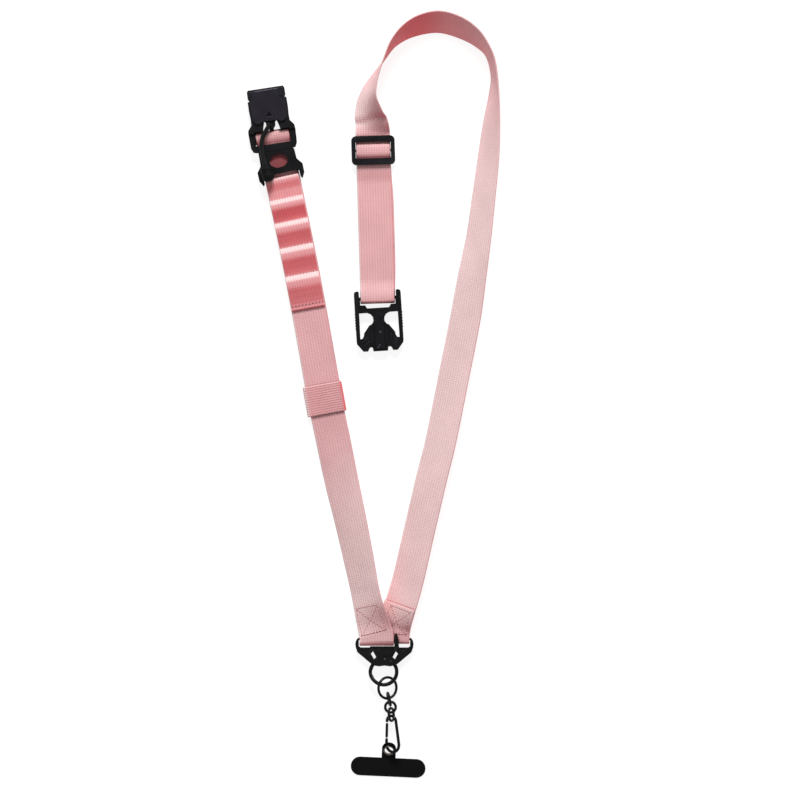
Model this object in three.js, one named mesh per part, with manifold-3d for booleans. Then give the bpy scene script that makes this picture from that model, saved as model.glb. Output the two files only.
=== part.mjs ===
import * as THREE from 'three';
import { mergeVertices } from 'three/addons/utils/BufferGeometryUtils.js';
import Module from 'manifold-3d';

// A phone crossbody strap lying flat, in millimetres, seen from above along Z.
// The drawing's origin is the middle of the connector plate, and +Y runs up the straps.

const webWidth = 25;
const webThickness = 1.2;
const clearance = 0.3;
const armReach = 80; // how far the long strap swings out sideways
const strapReach = 457; // connector plate to the top of the long strap
const keeperNorth = 183;
const keeperLength = 22;
const sleeveThickness = 1.2;
const sliderLength = 21;
const sliderBar = 2.2; // depth of the slider's outer bars
const centreBar = 1.6;
const hangLength = 109; // slider's middle to the buckle bar below it
const insertLength = 44.7;
const insertHeight = 6.6;
const housingLength = 48;
const housingHeight = 8.6;
const coverThickness = 1.5;
const lockLength = 24;
const lockThickness = 2.5;
const plateWidth = 42.5;
const plateThickness = 2.4;
const plateBar = 1.8;
const bandLift = 3.4; // height of the band's puffed loops
const cordDiameter = 3.2;
const stopperLength = 11.5;
const stopperDiameter = 9.2;
const splitRingDiameter = 21.5;
const splitRingWire = 2.6;
const roundRingDiameter = 17.3;
const linkWire = 2;
const linkLength = 11.2;
const linkWidth = 7.8;
const smallRingDiameter = 9.8;
const hookLength = 28.5;
const hookWire = 2.2;
const gateLength = 10.8;
const hookRoll = 36; // degrees that the hook leans about its length
const tabLength = 54.5;
const tabWidth = 13.6;
const tabThickness = 0.8;
const tongueWidth = 10.2;
const tongueLength = 13.4;
const tongueRise = 28; // degrees that the tongue bends up
const eyeletHole = 6.2;
const eyeletRim = 0.9;

// Webbing layers lie one pitch apart, and a layer's centre is half a thickness above its level.
const pitch = webThickness + clearance;
const half = webThickness / 2;
const radians = THREE.MathUtils.degToRad;

const wasm = await Module();
wasm.setup();

function material(color, roughness, metalness) {
  return new THREE.MeshStandardMaterial({ color, roughness, metalness });
}
const webbing = material('#efacae', 0.85, 0);
const moulded = material('#17171a', 0.45, 0);
const mouldedPale = material('#38343c', 0.5, 0);
const lacquered = material('#151517', 0.35, 0.6);
const tabSheet = material('#101014', 0.75, 0);
const eyeletMetal = material('#8a8378', 0.35, 0.9);
const braid = material('#121214', 0.8, 0);

// Solids

function toSolid(geometry) {
  const bare = geometry.clone();
  bare.deleteAttribute('normal');
  bare.deleteAttribute('uv');
  const merged = mergeVertices(bare, 1e-4);
  const mesh = new wasm.Mesh({
    numProp: 3,
    vertProperties: new Float32Array(merged.attributes.position.array),
    triVerts: new Uint32Array(merged.index.array),
  });
  return new wasm.Manifold(mesh);
}

function toGeometry(body) {
  const mesh = body.getMesh();
  const geometry = new THREE.BufferGeometry();
  geometry.setAttribute('position', new THREE.BufferAttribute(mesh.vertProperties, 3));
  geometry.setIndex(new THREE.BufferAttribute(mesh.triVerts, 1));
  geometry.computeVertexNormals();
  return geometry;
}

function join(first, ...others) {
  return others.reduce((body, other) => body.add(other), first);
}

function cut(first, ...others) {
  return others.reduce((body, other) => body.subtract(other), first);
}

// A flat piece with the given outline between two heights.
function slab(outline, low, high) {
  const listed = Array.isArray(outline);
  const shape = listed ? new THREE.Shape(outline.map(([x, y]) => new THREE.Vector2(x, y))) : outline;
  const settings = { depth: high - low, bevelEnabled: false, curveSegments: 6 };
  return toSolid(new THREE.ExtrudeGeometry(shape, settings).translate(0, 0, low));
}

function block(x0, x1, y0, y1, z0, z1) {
  const box = new THREE.BoxGeometry(x1 - x0, y1 - y0, z1 - z0);
  return toSolid(box.translate((x0 + x1) / 2, (y0 + y1) / 2, (z0 + z1) / 2));
}

// The right side of an outline, from its bottom up, with its mirror image down the left.
function mirrored(rows, halfWidth, length) {
  const right = rows.map(({ side, up }) => [side * halfWidth, up * length]);
  const left = right.filter(([x]) => x > 0).map(([x, y]) => [-x, y]);
  return [...right, ...left.reverse()];
}

function roundedBox(halfX, y0, y1, corner) {
  const shape = new THREE.Shape();
  shape.moveTo(halfX - corner, y0);
  shape.absarc(halfX - corner, y0 + corner, corner, -Math.PI / 2, 0);
  shape.absarc(halfX - corner, y1 - corner, corner, 0, Math.PI / 2);
  shape.absarc(corner - halfX, y1 - corner, corner, Math.PI / 2, Math.PI);
  shape.absarc(corner - halfX, y0 + corner, corner, Math.PI, 1.5 * Math.PI);
  shape.closePath();
  return shape;
}

// Sweeps a convex section along frames, each with a point and two axes across it.
function sweep(frames, section, closed) {
  const count = section.length;
  const positions = [];
  const index = [];
  for (const { point, across, out } of frames) {
    for (const [s, t] of section) {
      positions.push(...point.clone().addScaledVector(across, s).addScaledVector(out, t).toArray());
    }
  }
  const last = closed ? frames.length : frames.length - 1;
  for (let i = 0; i < last; i += 1) {
    const here = i * count;
    const next = ((i + 1) % frames.length) * count;
    for (let j = 0; j < count; j += 1) {
      const k = (j + 1) % count;
      index.push(here + j, next + k, here + k, here + j, next + j, next + k);
    }
  }
  if (!closed) {
    const end = (frames.length - 1) * count;
    for (let j = 1; j < count - 1; j += 1) {
      index.push(0, j, j + 1, end, end + j + 1, end + j);
    }
  }
  const geometry = new THREE.BufferGeometry();
  geometry.setAttribute('position', new THREE.Float32BufferAttribute(positions, 3));
  geometry.setIndex(index);
  return toSolid(geometry);
}

function ring(radius, sides) {
  return Array.from({ length: sides }, (_, i) => {
    const angle = ((i + 0.5) / sides) * 2 * Math.PI;
    return [radius * Math.cos(angle), radius * Math.sin(angle)];
  });
}

// A wire through points in the plane z = 0, with its section turned to face each bend.
function flatWire(points, diameter, closed, sides = 6) {
  const frames = points.map((point, i) => {
    const before = points[closed ? (i + points.length - 1) % points.length : Math.max(i - 1, 0)];
    const after = points[closed ? (i + 1) % points.length : Math.min(i + 1, points.length - 1)];
    const along = after.clone().sub(before).normalize();
    return { point, across: new THREE.Vector3(along.y, -along.x, 0), out: new THREE.Vector3(0, 0, 1) };
  });
  return sweep(frames, ring(diameter / 2, sides), closed);
}

// An oval or round link in the plane z = 0, with its outer length along Y.
function linkBody(length, width, wire, steps) {
  const radius = (width - wire) / 2;
  const straight = (length - wire) / 2 - radius;
  const points = Array.from({ length: steps }, (_, i) => {
    const angle = ((i + 0.5) / steps) * 2 * Math.PI;
    const y = radius * Math.sin(angle) + straight * Math.sign(Math.sin(angle));
    return new THREE.Vector3(radius * Math.cos(angle), y, 0);
  });
  return flatWire(points, wire, true);
}

// Routes of webbing

// A value read from rows by a steady curve that never overshoots its rows.
function readRows(rows, key, value, at) {
  const last = rows.length - 1;
  const found = rows.findIndex((row) => row[key] > at);
  const i = found < 0 ? last - 1 : Math.max(found - 1, 0);
  const slope = (k) => (rows[k + 1][value] - rows[k][value]) / (rows[k + 1][key] - rows[k][key]);
  const steer = (k) => {
    if (k <= 0 || k >= last) return 0;
    const before = slope(k - 1);
    const after = slope(k);
    return before * after > 0 ? (2 * before * after) / (before + after) : 0;
  };
  const span = rows[i + 1][key] - rows[i][key];
  const u = THREE.MathUtils.clamp((at - rows[i][key]) / span, 0, 1);
  const start = rows[i][value];
  const end = rows[i + 1][value];
  const early = steer(i) * span - end + start;
  const late = steer(i + 1) * span - end + start;
  return start + u * (end - start) + u * (1 - u) * ((1 - u) * early - u * late);
}

// The height of the middle of webbing that leans by an angle and touches the floor.
function restingHeight(lean) {
  const angle = radians(lean);
  return (webWidth / 2) * Math.abs(Math.sin(angle)) + half * Math.abs(Math.cos(angle));
}

// Stations along floor rows of east and north shares, lean in degrees and lift in millimetres.
function route(rows, step) {
  const numbered = rows.map((row, i) => ({ lift: 0, ...row, order: i }));
  const points = rows.map(({ east, north }) => new THREE.Vector3(east * armReach, north * strapReach, 0));
  const curve = new THREE.CatmullRomCurve3(points, false, 'catmullrom');
  const stations = [];
  for (let i = 0; i < points.length - 1; i += 1) {
    const turn = Math.abs(rows[i + 1].lean - rows[i].lean);
    const steps = Math.max(1, Math.round(points[i].distanceTo(points[i + 1]) / step), Math.round(turn / 8));
    const last = i === points.length - 2 ? steps : steps - 1;
    for (let j = 0; j <= last; j += 1) {
      const order = i + j / steps;
      const share = order / (points.length - 1);
      const along = curve.getTangent(share);
      const right = new THREE.Vector3(along.y, -along.x, 0).normalize();
      const lean = readRows(numbered, 'order', 'lean', order);
      const point = curve.getPoint(share);
      point.z = restingHeight(lean) + readRows(numbered, 'order', 'lift', order);
      const across = right.multiplyScalar(Math.cos(radians(lean)));
      across.z = Math.sin(radians(lean));
      stations.push({ point, across });
    }
  }
  return stations;
}

// A turn round a bar that lies across the webbing, from the top layer down to the lower one.
function turnDown(centre, across, away, topHeight, lowHeight, reach, steps = 6) {
  const middle = (topHeight + lowHeight) / 2;
  return Array.from({ length: steps + 1 }, (_, i) => {
    const angle = (i / steps) * Math.PI;
    const point = centre.clone().addScaledVector(away, reach * Math.sin(angle));
    point.z = middle + ((topHeight - lowHeight) / 2) * Math.cos(angle);
    return { point, across: across.clone() };
  });
}

function ribbon(stations) {
  const frames = stations.map(({ point, across }, i) => {
    const before = stations[Math.max(i - 1, 0)].point;
    const after = stations[Math.min(i + 1, stations.length - 1)].point;
    const along = after.clone().sub(before).normalize();
    const level = across.clone().addScaledVector(along, -across.dot(along)).normalize();
    return { point, across: level, out: level.clone().cross(along).normalize() };
  });
  const w = webWidth / 2;
  return sweep(frames, [[-w, -half], [w, -half], [w, half], [-w, half]], false);
}

// A local frame on the floor, with v up the strap and u to its right.
function floorFrame(x, y, tilt) {
  const angle = radians(tilt);
  const u = new THREE.Vector3(Math.cos(angle), Math.sin(angle), 0);
  const v = new THREE.Vector3(-Math.sin(angle), Math.cos(angle), 0);
  const origin = new THREE.Vector3(x, y, 0);
  const at = (s, t, z) => origin.clone().addScaledVector(u, s).addScaledVector(v, t).setZ(z);
  return { origin, tilt, u, v, at };
}

// Where the hard pieces lie. Their places are read against the strap's reach.

const plateHeight = 2 * pitch; // the bar clears two layers that pass under it
const plateNorth = 7.4; // lower edge of the bar
const slotSouth = 2.1;
const slider = floorFrame(-0.107 * armReach, 0.7965 * strapReach, 1.7);
const insertTilt = 1.8;
const housing = floorFrame(-1.019 * armReach, 0.8155 * strapReach, 8.7);
const lock = floorFrame(-0.956 * armReach, 0.769 * strapReach, 12.5);
const keeper = floorFrame(-0.55 * armReach, keeperNorth, 10.3);

// Long strap

const longRows = [
  { east: 0.066, north: 0.0165, lean: 0, lift: pitch },
  { east: 0.067, north: 0.0250, lean: 0, lift: pitch },
  { east: 0.091, north: 0.045, lean: 13, lift: pitch },
  { east: 0.145, north: 0.073, lean: 24, lift: pitch },
  { east: 0.214, north: 0.115, lean: 26 },
  { east: 0.316, north: 0.193, lean: 27 },
  { east: 0.424, north: 0.274, lean: 27 },
  { east: 0.510, north: 0.335, lean: 28 },
  { east: 0.620, north: 0.431, lean: 28 },
  { east: 0.728, north: 0.526, lean: 29 },
  { east: 0.792, north: 0.595, lean: 36 },
  { east: 0.853, north: 0.659, lean: 45 },
  { east: 0.895, north: 0.718, lean: 49 },
  { east: 0.938, north: 0.781, lean: 53 },
  { east: 0.969, north: 0.840, lean: 62 },
  { east: 0.990, north: 0.884, lean: 74 },
  { east: 0.991, north: 0.917, lean: 81 },
  { east: 0.945, north: 0.949, lean: 80 },
  { east: 0.832, north: 0.974, lean: 68 },
  { east: 0.680, north: 0.991, lean: 58 },
  { east: 0.501, north: 1.000, lean: 55 },
  { east: 0.333, north: 0.996, lean: 59 },
  { east: 0.188, north: 0.984, lean: 69 },
  { east: 0.072, north: 0.965, lean: 81 },
  { east: -0.007, north: 0.941, lean: 90 },
  { east: -0.068, north: 0.921, lean: 98 },
  { east: -0.125, north: 0.899, lean: 110 },
  { east: -0.152, north: 0.880, lean: 122 },
  { east: -0.143, north: 0.858, lean: 140 },
  { east: -0.118, north: 0.840, lean: 157 },
];

const sliderLevel = 3 * pitch + 0.25; // underside of the slider's outer bars
const loopHeight = pitch + centreBar + clearance + half; // top of the sewn loop round the centre bar
const insertBar = 2.2;
const insertFold = pitch + insertBar + clearance + half;

// Heights of the front layer from the slider down to the buckle, by share of the hanging length.
const frontRows = [
  { down: -0.115, height: half + 2 * pitch },
  { down: -0.058, height: half + 2 * pitch },
  { down: -0.024, height: loopHeight + pitch - 0.1 },
  { down: 0, height: loopHeight + pitch },
  { down: 0.024, height: loopHeight + pitch - 0.1 },
  { down: 0.058, height: half + 2 * pitch },
  { down: 0.110, height: half + 2 * pitch },
  { down: 0.22, height: half + pitch },
  { down: 0.86, height: half + pitch },
  { down: 0.985, height: insertFold },
  { down: 1, height: insertFold },
];

function frontLayer() {
  const downs = [-0.115, -0.095, -0.075, -0.058, -0.047, -0.036, -0.024, -0.012, 0, 0.012, 0.024, 0.036];
  downs.push(0.047, 0.058, 0.08, 0.11, 0.15, 0.19, 0.25, 0.4, 0.55, 0.7, 0.84, 0.89, 0.93, 0.96);
  return downs.map((down) => {
    const point = slider.at(0, -down * hangLength, readRows(frontRows, 'down', 'height', down));
    return { point, across: slider.u.clone() };
  });
}

// The layer behind, from the buckle back up to the loop sewn round the slider's centre bar.
const backRows = [
  { down: 0.96, aside: 0.2, height: half },
  { down: 0.8, aside: 1.1, height: half },
  { down: 0.55, aside: 1.3, height: half },
  { down: 0.3, aside: 1.1, height: half },
  { down: 0.12, aside: 0.1, height: half },
  { down: 0.05, aside: 0, height: half },
  { down: 0, aside: 0, height: half },
];
const tailRows = [
  { down: 0, aside: 0, height: loopHeight },
  { down: 0.016, aside: 0, height: loopHeight },
  { down: 0.034, aside: 0, height: half + pitch + 0.5 },
  { down: 0.056, aside: 0, height: half + pitch },
  { down: 0.135, aside: 0, height: half + pitch },
];

function layerAt(rows) {
  return rows.map(({ down, aside, height }) => {
    return { point: slider.at(aside, -down * hangLength, height), across: slider.u.clone() };
  });
}

function strapLong() {
  const main = route(longRows, 11);
  const sewn = main.filter(({ point }) => point.y > 0.037 * strapReach && point.y < 0.0755 * strapReach);
  const turned = sewn.map(({ point, across }) => {
    const up = new THREE.Vector3(-across.z, 0, across.x).normalize();
    return { point: point.clone().addScaledVector(up, pitch), across: across.clone() };
  });
  const foldTop = plateHeight + plateBar + clearance + half;
  const east = main[0].across.clone();
  const barEdge = new THREE.Vector3(main[0].point.x, plateNorth, 0);
  const aboveBar = new THREE.Vector3(main[0].point.x, plateNorth + plateBar + 1.8, foldTop);
  const overBar = { point: aboveBar, across: east };
  const south = new THREE.Vector3(0, -1, 0);
  const fold = turnDown(barEdge, east, south, foldTop, half + pitch, (foldTop - half - pitch) / 2 + 0.15, 8);
  const bend = slider.v.clone().negate();
  const buckleEdge = slider.at(0, -hangLength, 0);
  const buckleFold = turnDown(buckleEdge, slider.u, bend, insertFold, half, (insertFold - half) / 2);
  const sewnLoop = turnDown(slider.at(0, centreBar / 2, 0), slider.u, slider.v, loopHeight, half,
    (loopHeight - half) / 2).reverse();
  return ribbon([
    ...turned.reverse(), overBar, ...fold, ...main, ...frontLayer(), ...buckleFold,
    ...layerAt(backRows), ...sewnLoop, ...layerAt(tailRows),
  ]);
}

// Short strap

const shortRows = [
  { east: -0.0755, north: 0.0165, lean: 8, lift: 5.15 },
  { east: -0.0765, north: 0.0240, lean: 8, lift: 5.15 },
  { east: -0.107, north: 0.044, lean: 19, lift: 2.6 },
  { east: -0.152, north: 0.073, lean: 31, lift: pitch },
  { east: -0.184, north: 0.098, lean: 34, lift: 0.3 },
  { east: -0.237, north: 0.144, lean: 29 },
  { east: -0.312, north: 0.206, lean: 22 },
  { east: -0.394, north: 0.269, lean: 12, lift: 0.6 },
  { east: -0.475, north: 0.338, lean: 2, lift: 2 },
];
const turnedRows = [
  { east: -0.0745, north: 0.0165, lean: 0, lift: 0.12 },
  { east: -0.0735, north: 0.0240, lean: 0, lift: 0.1 },
  { east: -0.085, north: 0.044, lean: 0 },
  { east: -0.119, north: 0.070, lean: 0 },
];
const foldBar = 1.6;
const shortFold = 2 * pitch + foldBar + clearance + half; // over the housing's bar

// The front layer from the keeper to the housing's bar, as shares of the way to it.
const climbRows = [
  { way: 0, east: -0.55, height: half + 2 * pitch },
  { way: 0.35, east: -0.70, height: half + 2 * pitch },
  { way: 0.587, east: -0.8105, height: half + 2 * pitch },
  { way: 0.83, east: -0.934, height: half + 2 * pitch },
  { way: 0.955, east: -1.0055, height: half + 2 * pitch },
];

const foldNorth = 2.6; // the bar's middle above the housing's own origin
const housingBar = housing.at(0, foldNorth, 0);

function climb(offset, count) {
  const reach = housingBar.y - keeperNorth;
  const points = climbRows.map(({ way, east }) => {
    return new THREE.Vector3(east * armReach, keeperNorth + way * reach, half + 2 * pitch);
  });
  const curve = new THREE.CatmullRomCurve3(points, false, 'catmullrom');
  return Array.from({ length: count }, (_, i) => {
    const share = (i + 0.35) / (count - 0.65);
    const point = curve.getPoint(Math.min(share, 1));
    const along = curve.getTangent(Math.min(share, 1));
    const across = new THREE.Vector3(along.y, -along.x, 0).normalize();
    point.addScaledVector(across, offset.aside).z += offset.rise;
    return { point, across };
  });
}

function strapShort() {
  const foldTop = shortRows[0].lift + restingHeight(shortRows[0].lean);
  const main = route(shortRows, 12);
  const top = main[0];
  const barEdge = new THREE.Vector3(top.point.x, plateNorth, 0);
  const south = new THREE.Vector3(0, -1, 0);
  const fold = turnDown(barEdge, new THREE.Vector3(1, 0, 0), south, foldTop, half + 0.12, 3.5, 10).reverse();
  fold.forEach((station, i) => {
    const lean = radians(shortRows[0].lean) * (i / (fold.length - 1)) ** 2;
    station.across.set(Math.cos(lean), 0, Math.sin(lean));
  });
  const turned = route(turnedRows, 12).reverse();
  const overBar = [
    { v: foldNorth - 6.1, height: half + 2 * pitch },
    { v: foldNorth - 3.6, height: shortFold - 0.7 },
    { v: foldNorth - 1.6, height: shortFold },
    { v: foldNorth, height: shortFold },
  ].map(({ v, height }) => ({ point: housing.at(0, v, height), across: housing.u.clone() }));
  const lowFold = half + pitch;
  const bar = turnDown(housing.at(0, foldNorth + foldBar / 2, 0), housing.u, housing.v, shortFold, lowFold,
    (shortFold - lowFold) / 2);
  const behind = climb({ aside: 0.5, rise: -pitch }, 12).reverse();
  const front = climb({ aside: 0, rise: 0 }, 16);
  return ribbon([...turned, ...fold, ...main, ...front, ...overBar, ...bar, ...behind]);
}

// The puffed band sewn on the front of the short strap. Each loop rises between two rows of stitches.

const bandRows = [
  { north: 0.7540, puff: 0 },
  { north: 0.7340, puff: 0.3 },
  { north: 0.7205, puff: 0 },
  { north: 0.6842, puff: 1 },
  { north: 0.6444, puff: 0.9 },
  { north: 0.5998, puff: 1 },
  { north: 0.5512, puff: 0.9 },
];

function loopBand() {
  const front = climb({ aside: 0, rise: pitch }, 60);
  const place = (y) => {
    const i = front.findIndex(({ point }) => point.y > y);
    const share = (y - front[i - 1].point.y) / (front[i].point.y - front[i - 1].point.y);
    const point = front[i - 1].point.clone().lerp(front[i].point, share);
    return { point, across: front[i].across.clone() };
  };
  const bumps = [[0, 0], [0.08, 0.45], [0.2, 0.95], [0.36, 1], [0.6, 0.62], [0.82, 0.22]];
  const stations = [];
  for (let i = 0; i < bandRows.length - 1; i += 1) {
    const top = bandRows[i].north * strapReach;
    const bottom = bandRows[i + 1].north * strapReach;
    for (const [share, height] of bumps) {
      const station = place(top + share * (bottom - top));
      station.point.z += bandRows[i + 1].puff * bandLift * height;
      stations.push(station);
    }
  }
  stations.push(place(bandRows.at(-1).north * strapReach), place((bandRows.at(-1).north - 0.007) * strapReach));
  return ribbon(stations);
}

function keeperLoop() {
  const inner = webWidth / 2 + clearance + 0.4;
  const top = 3 * pitch + clearance + sleeveThickness;
  const outer = inner + sleeveThickness;
  const outside = block(-outer, outer, -keeperLength / 2, keeperLength / 2, 0, top);
  const inside = block(-inner, inner, -keeperLength, keeperLength, sleeveThickness, top - sleeveThickness);
  return cut(outside, inside);
}

// Slider with three bars: the outer two over the webbing and the sunk one inside its sewn loop

function sliderFrame() {
  const outerHalf = webWidth / 2 + clearance + 3;
  const innerHalf = webWidth / 2 + clearance;
  const low = pitch;
  const high = sliderLevel + sliderBar;
  const frame = slab(roundedBox(outerHalf, -sliderLength / 2, sliderLength / 2, 3.4), low, high);
  const window = slab(roundedBox(innerHalf, -0.28 * sliderLength, 0.3 * sliderLength, 1), low - 1, high + 1);
  const under = block(-innerHalf, innerHalf, -sliderLength, sliderLength, low - 1, sliderLevel);
  const bar = block(-outerHalf + 1, outerHalf - 1, -centreBar / 2, centreBar / 2, pitch, pitch + centreBar);
  return join(cut(frame, window, under), bar);
}

// Pin half of the buckle. Its outline and windows are shares of half its width and of its length.

const insertRows = [
  { side: 0.31, up: -0.832 },
  { side: 0.33, up: -0.771 },
  { side: 0.41, up: -0.762 },
  { side: 0.47, up: -0.776 },
  { side: 0.535, up: -0.828 },
  { side: 0.73, up: -0.828 },
  { side: 0.985, up: -0.705 },
  { side: 1, up: -0.662 },
  { side: 1, up: 0.095 },
  { side: 0.985, up: 0.142 },
  { side: 0.86, up: 0.161 },
  { side: 0.79, up: 0.142 },
  { side: 0.78, up: 0 },
];
const insertWindow = [
  { side: 0.235, up: -0.325 },
  { side: 0.247, up: -0.277 },
  { side: 0.33, up: -0.228 },
  { side: 0.482, up: -0.202 },
  { side: 0.824, up: -0.202 },
  { side: 0.835, up: -0.622 },
  { side: 0.741, up: -0.617 },
  { side: 0.676, up: -0.571 },
  { side: 0.665, up: -0.533 },
  { side: 0.424, up: -0.407 },
  { side: 0.33, up: -0.394 },
  { side: 0.247, up: -0.354 },
];
const insertSpine = { side: 0.2, south: -0.797, north: -0.24, rise: 0.9 };
const gripRibs = { count: 6, north: -0.215, spacing: 0.0475, depth: 0.9, edge: 1.2, reach: 0.3 };

// One outline on each side of the middle, from rows of shares.
function bothSides(rows, halfWidth, length, low, high) {
  return [1, -1].map((sign) => {
    return slab(rows.map(({ side, up }) => [sign * side * halfWidth, up * length]), low, high);
  });
}

function buckleInsert() {
  const halfWidth = webWidth / 2 + clearance + 4.3;
  const inner = webWidth / 2 + clearance;
  const over = insertHeight + 1;
  const body = slab(mirrored(insertRows, halfWidth, insertLength), 0, insertHeight);
  const windows = bothSides(insertWindow, halfWidth, insertLength, -1, over);
  const skew = (webWidth / 2) * Math.sin(radians(insertTilt));
  const foldReach = (insertFold + half) / 2 + clearance + skew; // of the strap's fold below the bar
  const throat = slab([[-inner, 0.1], [-inner, -foldReach], [3.4 - inner, -foldReach - 0.05],
    [4.8 - inner, -foldReach - 2.4], [inner - 4.8, -foldReach - 2.4], [inner - 3.4, -foldReach - 0.05],
    [inner, -foldReach], [inner, 0.1]], -1, over);
  const open = block(-inner, inner, 0, insertLength, -1, over);
  const bar = block(2 - halfWidth, halfWidth - 2, 0.15, 2.6, pitch + 0.05, pitch + insertBar - 0.05);
  const grips = [];
  for (let i = 0; i < gripRibs.count; i += 1) {
    const y = insertLength * (gripRibs.north - gripRibs.spacing * i);
    for (const sign of [1, -1]) {
      const x = sign * (halfWidth + gripRibs.reach - 1);
      grips.push(block(x - 1, x + 1, y - gripRibs.depth / 2, y + gripRibs.depth / 2, gripRibs.edge,
        insertHeight - gripRibs.edge));
    }
  }
  const spineHalf = insertSpine.side * halfWidth;
  const spine = block(-spineHalf, spineHalf, insertSpine.south * insertLength, insertSpine.north * insertLength,
    insertHeight - 1, insertHeight + insertSpine.rise);
  return join(cut(body, ...windows, throat, open), bar, spine, ...grips);
}

// Socket half of the buckle, with a pocket at the top and a sunk bar in the frame below

const housingRows = [
  { side: 0.76, up: -0.19 },
  { side: 0.9, up: -0.175 },
  { side: 0.98, up: -0.11 },
  { side: 1, up: 0.1 },
  { side: 0.985, up: 0.16 },
  { side: 0.82, up: 0.235 },
  { side: 0.81, up: 0.33 },
  { side: 0.83, up: 0.44 },
  { side: 0.825, up: 0.585 },
  { side: 0.76, up: 0.595 },
  { side: 0.76, up: 0.615 },
  { side: 0.8, up: 0.63 },
  { side: 0.8, up: 0.735 },
  { side: 0.75, up: 0.765 },
];
const housingHalf = webWidth / 2 + clearance + 4.4;
const housingLobe = [
  { side: 0.094, up: 0.12 },
  { side: 0.37, up: 0.12 },
  { side: 0.33, up: 0.19 },
  { side: 0.265, up: 0.27 },
  { side: 0.11, up: 0.22 },
];
const pocketHalf = 11;
const pocketLow = 2;
const pocketHigh = 6.6;
const lugLevel = shortFold + half + clearance + 0.2;
const lugThickness = 1.4;
const lugHalf = 3.4;

function buckleHousing() {
  const inner = webWidth / 2 + 2.7 * clearance;
  const length = housingLength;
  const foldReach = foldNorth + foldBar / 2 + (shortFold - pitch + half) / 2; // the strap's fold ends here
  const body = slab(mirrored(housingRows, housingHalf, length), 0, housingHeight);
  const windowHalf = webWidth / 2 + clearance + 0.05;
  const window = block(-windowHalf, windowHalf, -0.085 * length, foldReach + clearance, -1, housingHeight + 1);
  const passage = block(-inner, inner, -0.5 * length, 0.02 * length, -1, 3 * pitch);
  const foot = block(-housingHalf - 1, housingHalf + 1, -0.5 * length, -0.07 * length, -1, 3 * pitch);
  const lobes = bothSides(housingLobe, housingHalf, length, -1, housingHeight + 1);
  const pocket = block(-pocketHalf, pocketHalf, 0.32 * length, length, pocketLow, pocketHigh);
  const track = block(-lugHalf - clearance, lugHalf + clearance, 0.1 * length, 0.40 * length,
    lugLevel - clearance, housingHeight + 1);
  const lowerFront = block(-inner - 6, inner + 6, -length, 0.105 * length, 3 * pitch + 2.4, housingHeight + 1);
  const bar = block(-housingHalf + 2, housingHalf - 2, foldNorth - foldBar / 2, foldNorth + foldBar / 2,
    2 * pitch, 2 * pitch + foldBar);
  const open = cut(body, window, passage, foot, ...lobes, pocket, track, lowerFront);
  const ledge = pitch - clearance; // a low sill round the window, under the strap's fold
  const northSill = block(-windowHalf, windowHalf, foldReach - 1, foldReach + 2 * clearance, 0, ledge);
  const sideSills = [1, -1].map((sign) => {
    const ends = [sign * (windowHalf - 1.4), sign * (housingHalf - 2)];
    return block(Math.min(...ends), Math.max(...ends), -0.06 * length, foldReach + 1, 0, ledge);
  });
  return join(open, bar, northSill, ...sideSills);
}

const coverRows = [
  { side: 0.30, up: 0.265 },
  { side: 0.46, up: 0.235 },
  { side: 0.62, up: 0.245 },
  { side: 0.72, up: 0.30 },
  { side: 0.745, up: 0.40 },
  { side: 0.745, up: 0.66 },
  { side: 0.72, up: 0.74 },
];

function buckleCover() {
  const outline = mirrored(coverRows, housingHalf, housingLength);
  const body = slab(outline, 0, coverThickness);
  const mark = slab([[-2.2, 0.335 * housingLength], [2.2, 0.335 * housingLength], [0, 0.40 * housingLength]],
    0.4, coverThickness + 1);
  return cut(body, mark);
}

// The sliding lug that the pull cord is tied to

function releaseLug() {
  const length = housingLength;
  const shape = new THREE.Shape();
  const south = 0.14 * length;
  const north = 0.35 * length;
  shape.moveTo(-lugHalf, south + lugHalf);
  shape.absarc(0, south + lugHalf, lugHalf, Math.PI, 2 * Math.PI);
  shape.lineTo(lugHalf, north);
  shape.lineTo(-lugHalf, north);
  shape.closePath();
  return slab(shape, lugLevel, lugLevel + lugThickness);
}

// The black piece below the buckle, closed round both layers

const lockRows = [
  { side: 0.45, up: -0.17 },
  { side: 0.765, up: -0.19 },
  { side: 0.775, up: -0.40 },
  { side: 0.84, up: -0.45 },
  { side: 0.965, up: -0.28 },
  { side: 0.97, up: -0.02 },
  { side: 0.775, up: 0.16 },
  { side: 0.75, up: 0.6 },
];
const lockOval = { east: 0.3, north: 5, halfWidth: 6.7, halfHeight: 5 };

function strapLock() {
  const halfWidth = webWidth / 2 + clearance + 4.5;
  const level = 3 * pitch;
  const body = slab(mirrored(lockRows, halfWidth, lockLength), 0, level + lockThickness);
  const tunnelHalf = webWidth / 2 + clearance + 0.3;
  const tunnel = block(-tunnelHalf, tunnelHalf, -lockLength, lockLength, webThickness, level);
  const openBack = block(-tunnelHalf, tunnelHalf, 0.02 * lockLength, lockLength, -1, level);
  const oval = new THREE.CylinderGeometry(1, 1, 40, 20).rotateX(Math.PI / 2);
  oval.scale(lockOval.halfWidth, lockOval.halfHeight, 1).translate(lockOval.east, lockOval.north, 0);
  const sides = block(-halfWidth - 1, -tunnelHalf, 0.18 * lockLength, lockLength, -1, level);
  const otherSide = block(tunnelHalf, halfWidth + 1, 0.18 * lockLength, lockLength, -1, level);
  const edge = housingRows[0].up * housingLength - clearance - 0.05; // just below the housing's lower edge
  const reach = 3 * halfWidth;
  const corners = [[-reach, edge], [reach, edge], [reach, edge + reach], [-reach, edge + reach]];
  const beyond = corners.map(([s, t]) => {
    const way = housing.at(s, t, 0).sub(lock.origin);
    return [way.dot(lock.u), way.dot(lock.v)];
  });
  return cut(body, tunnel, openBack, toSolid(oval), sides, otherSide, slab(beyond, -1, housingHeight));
}

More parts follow.
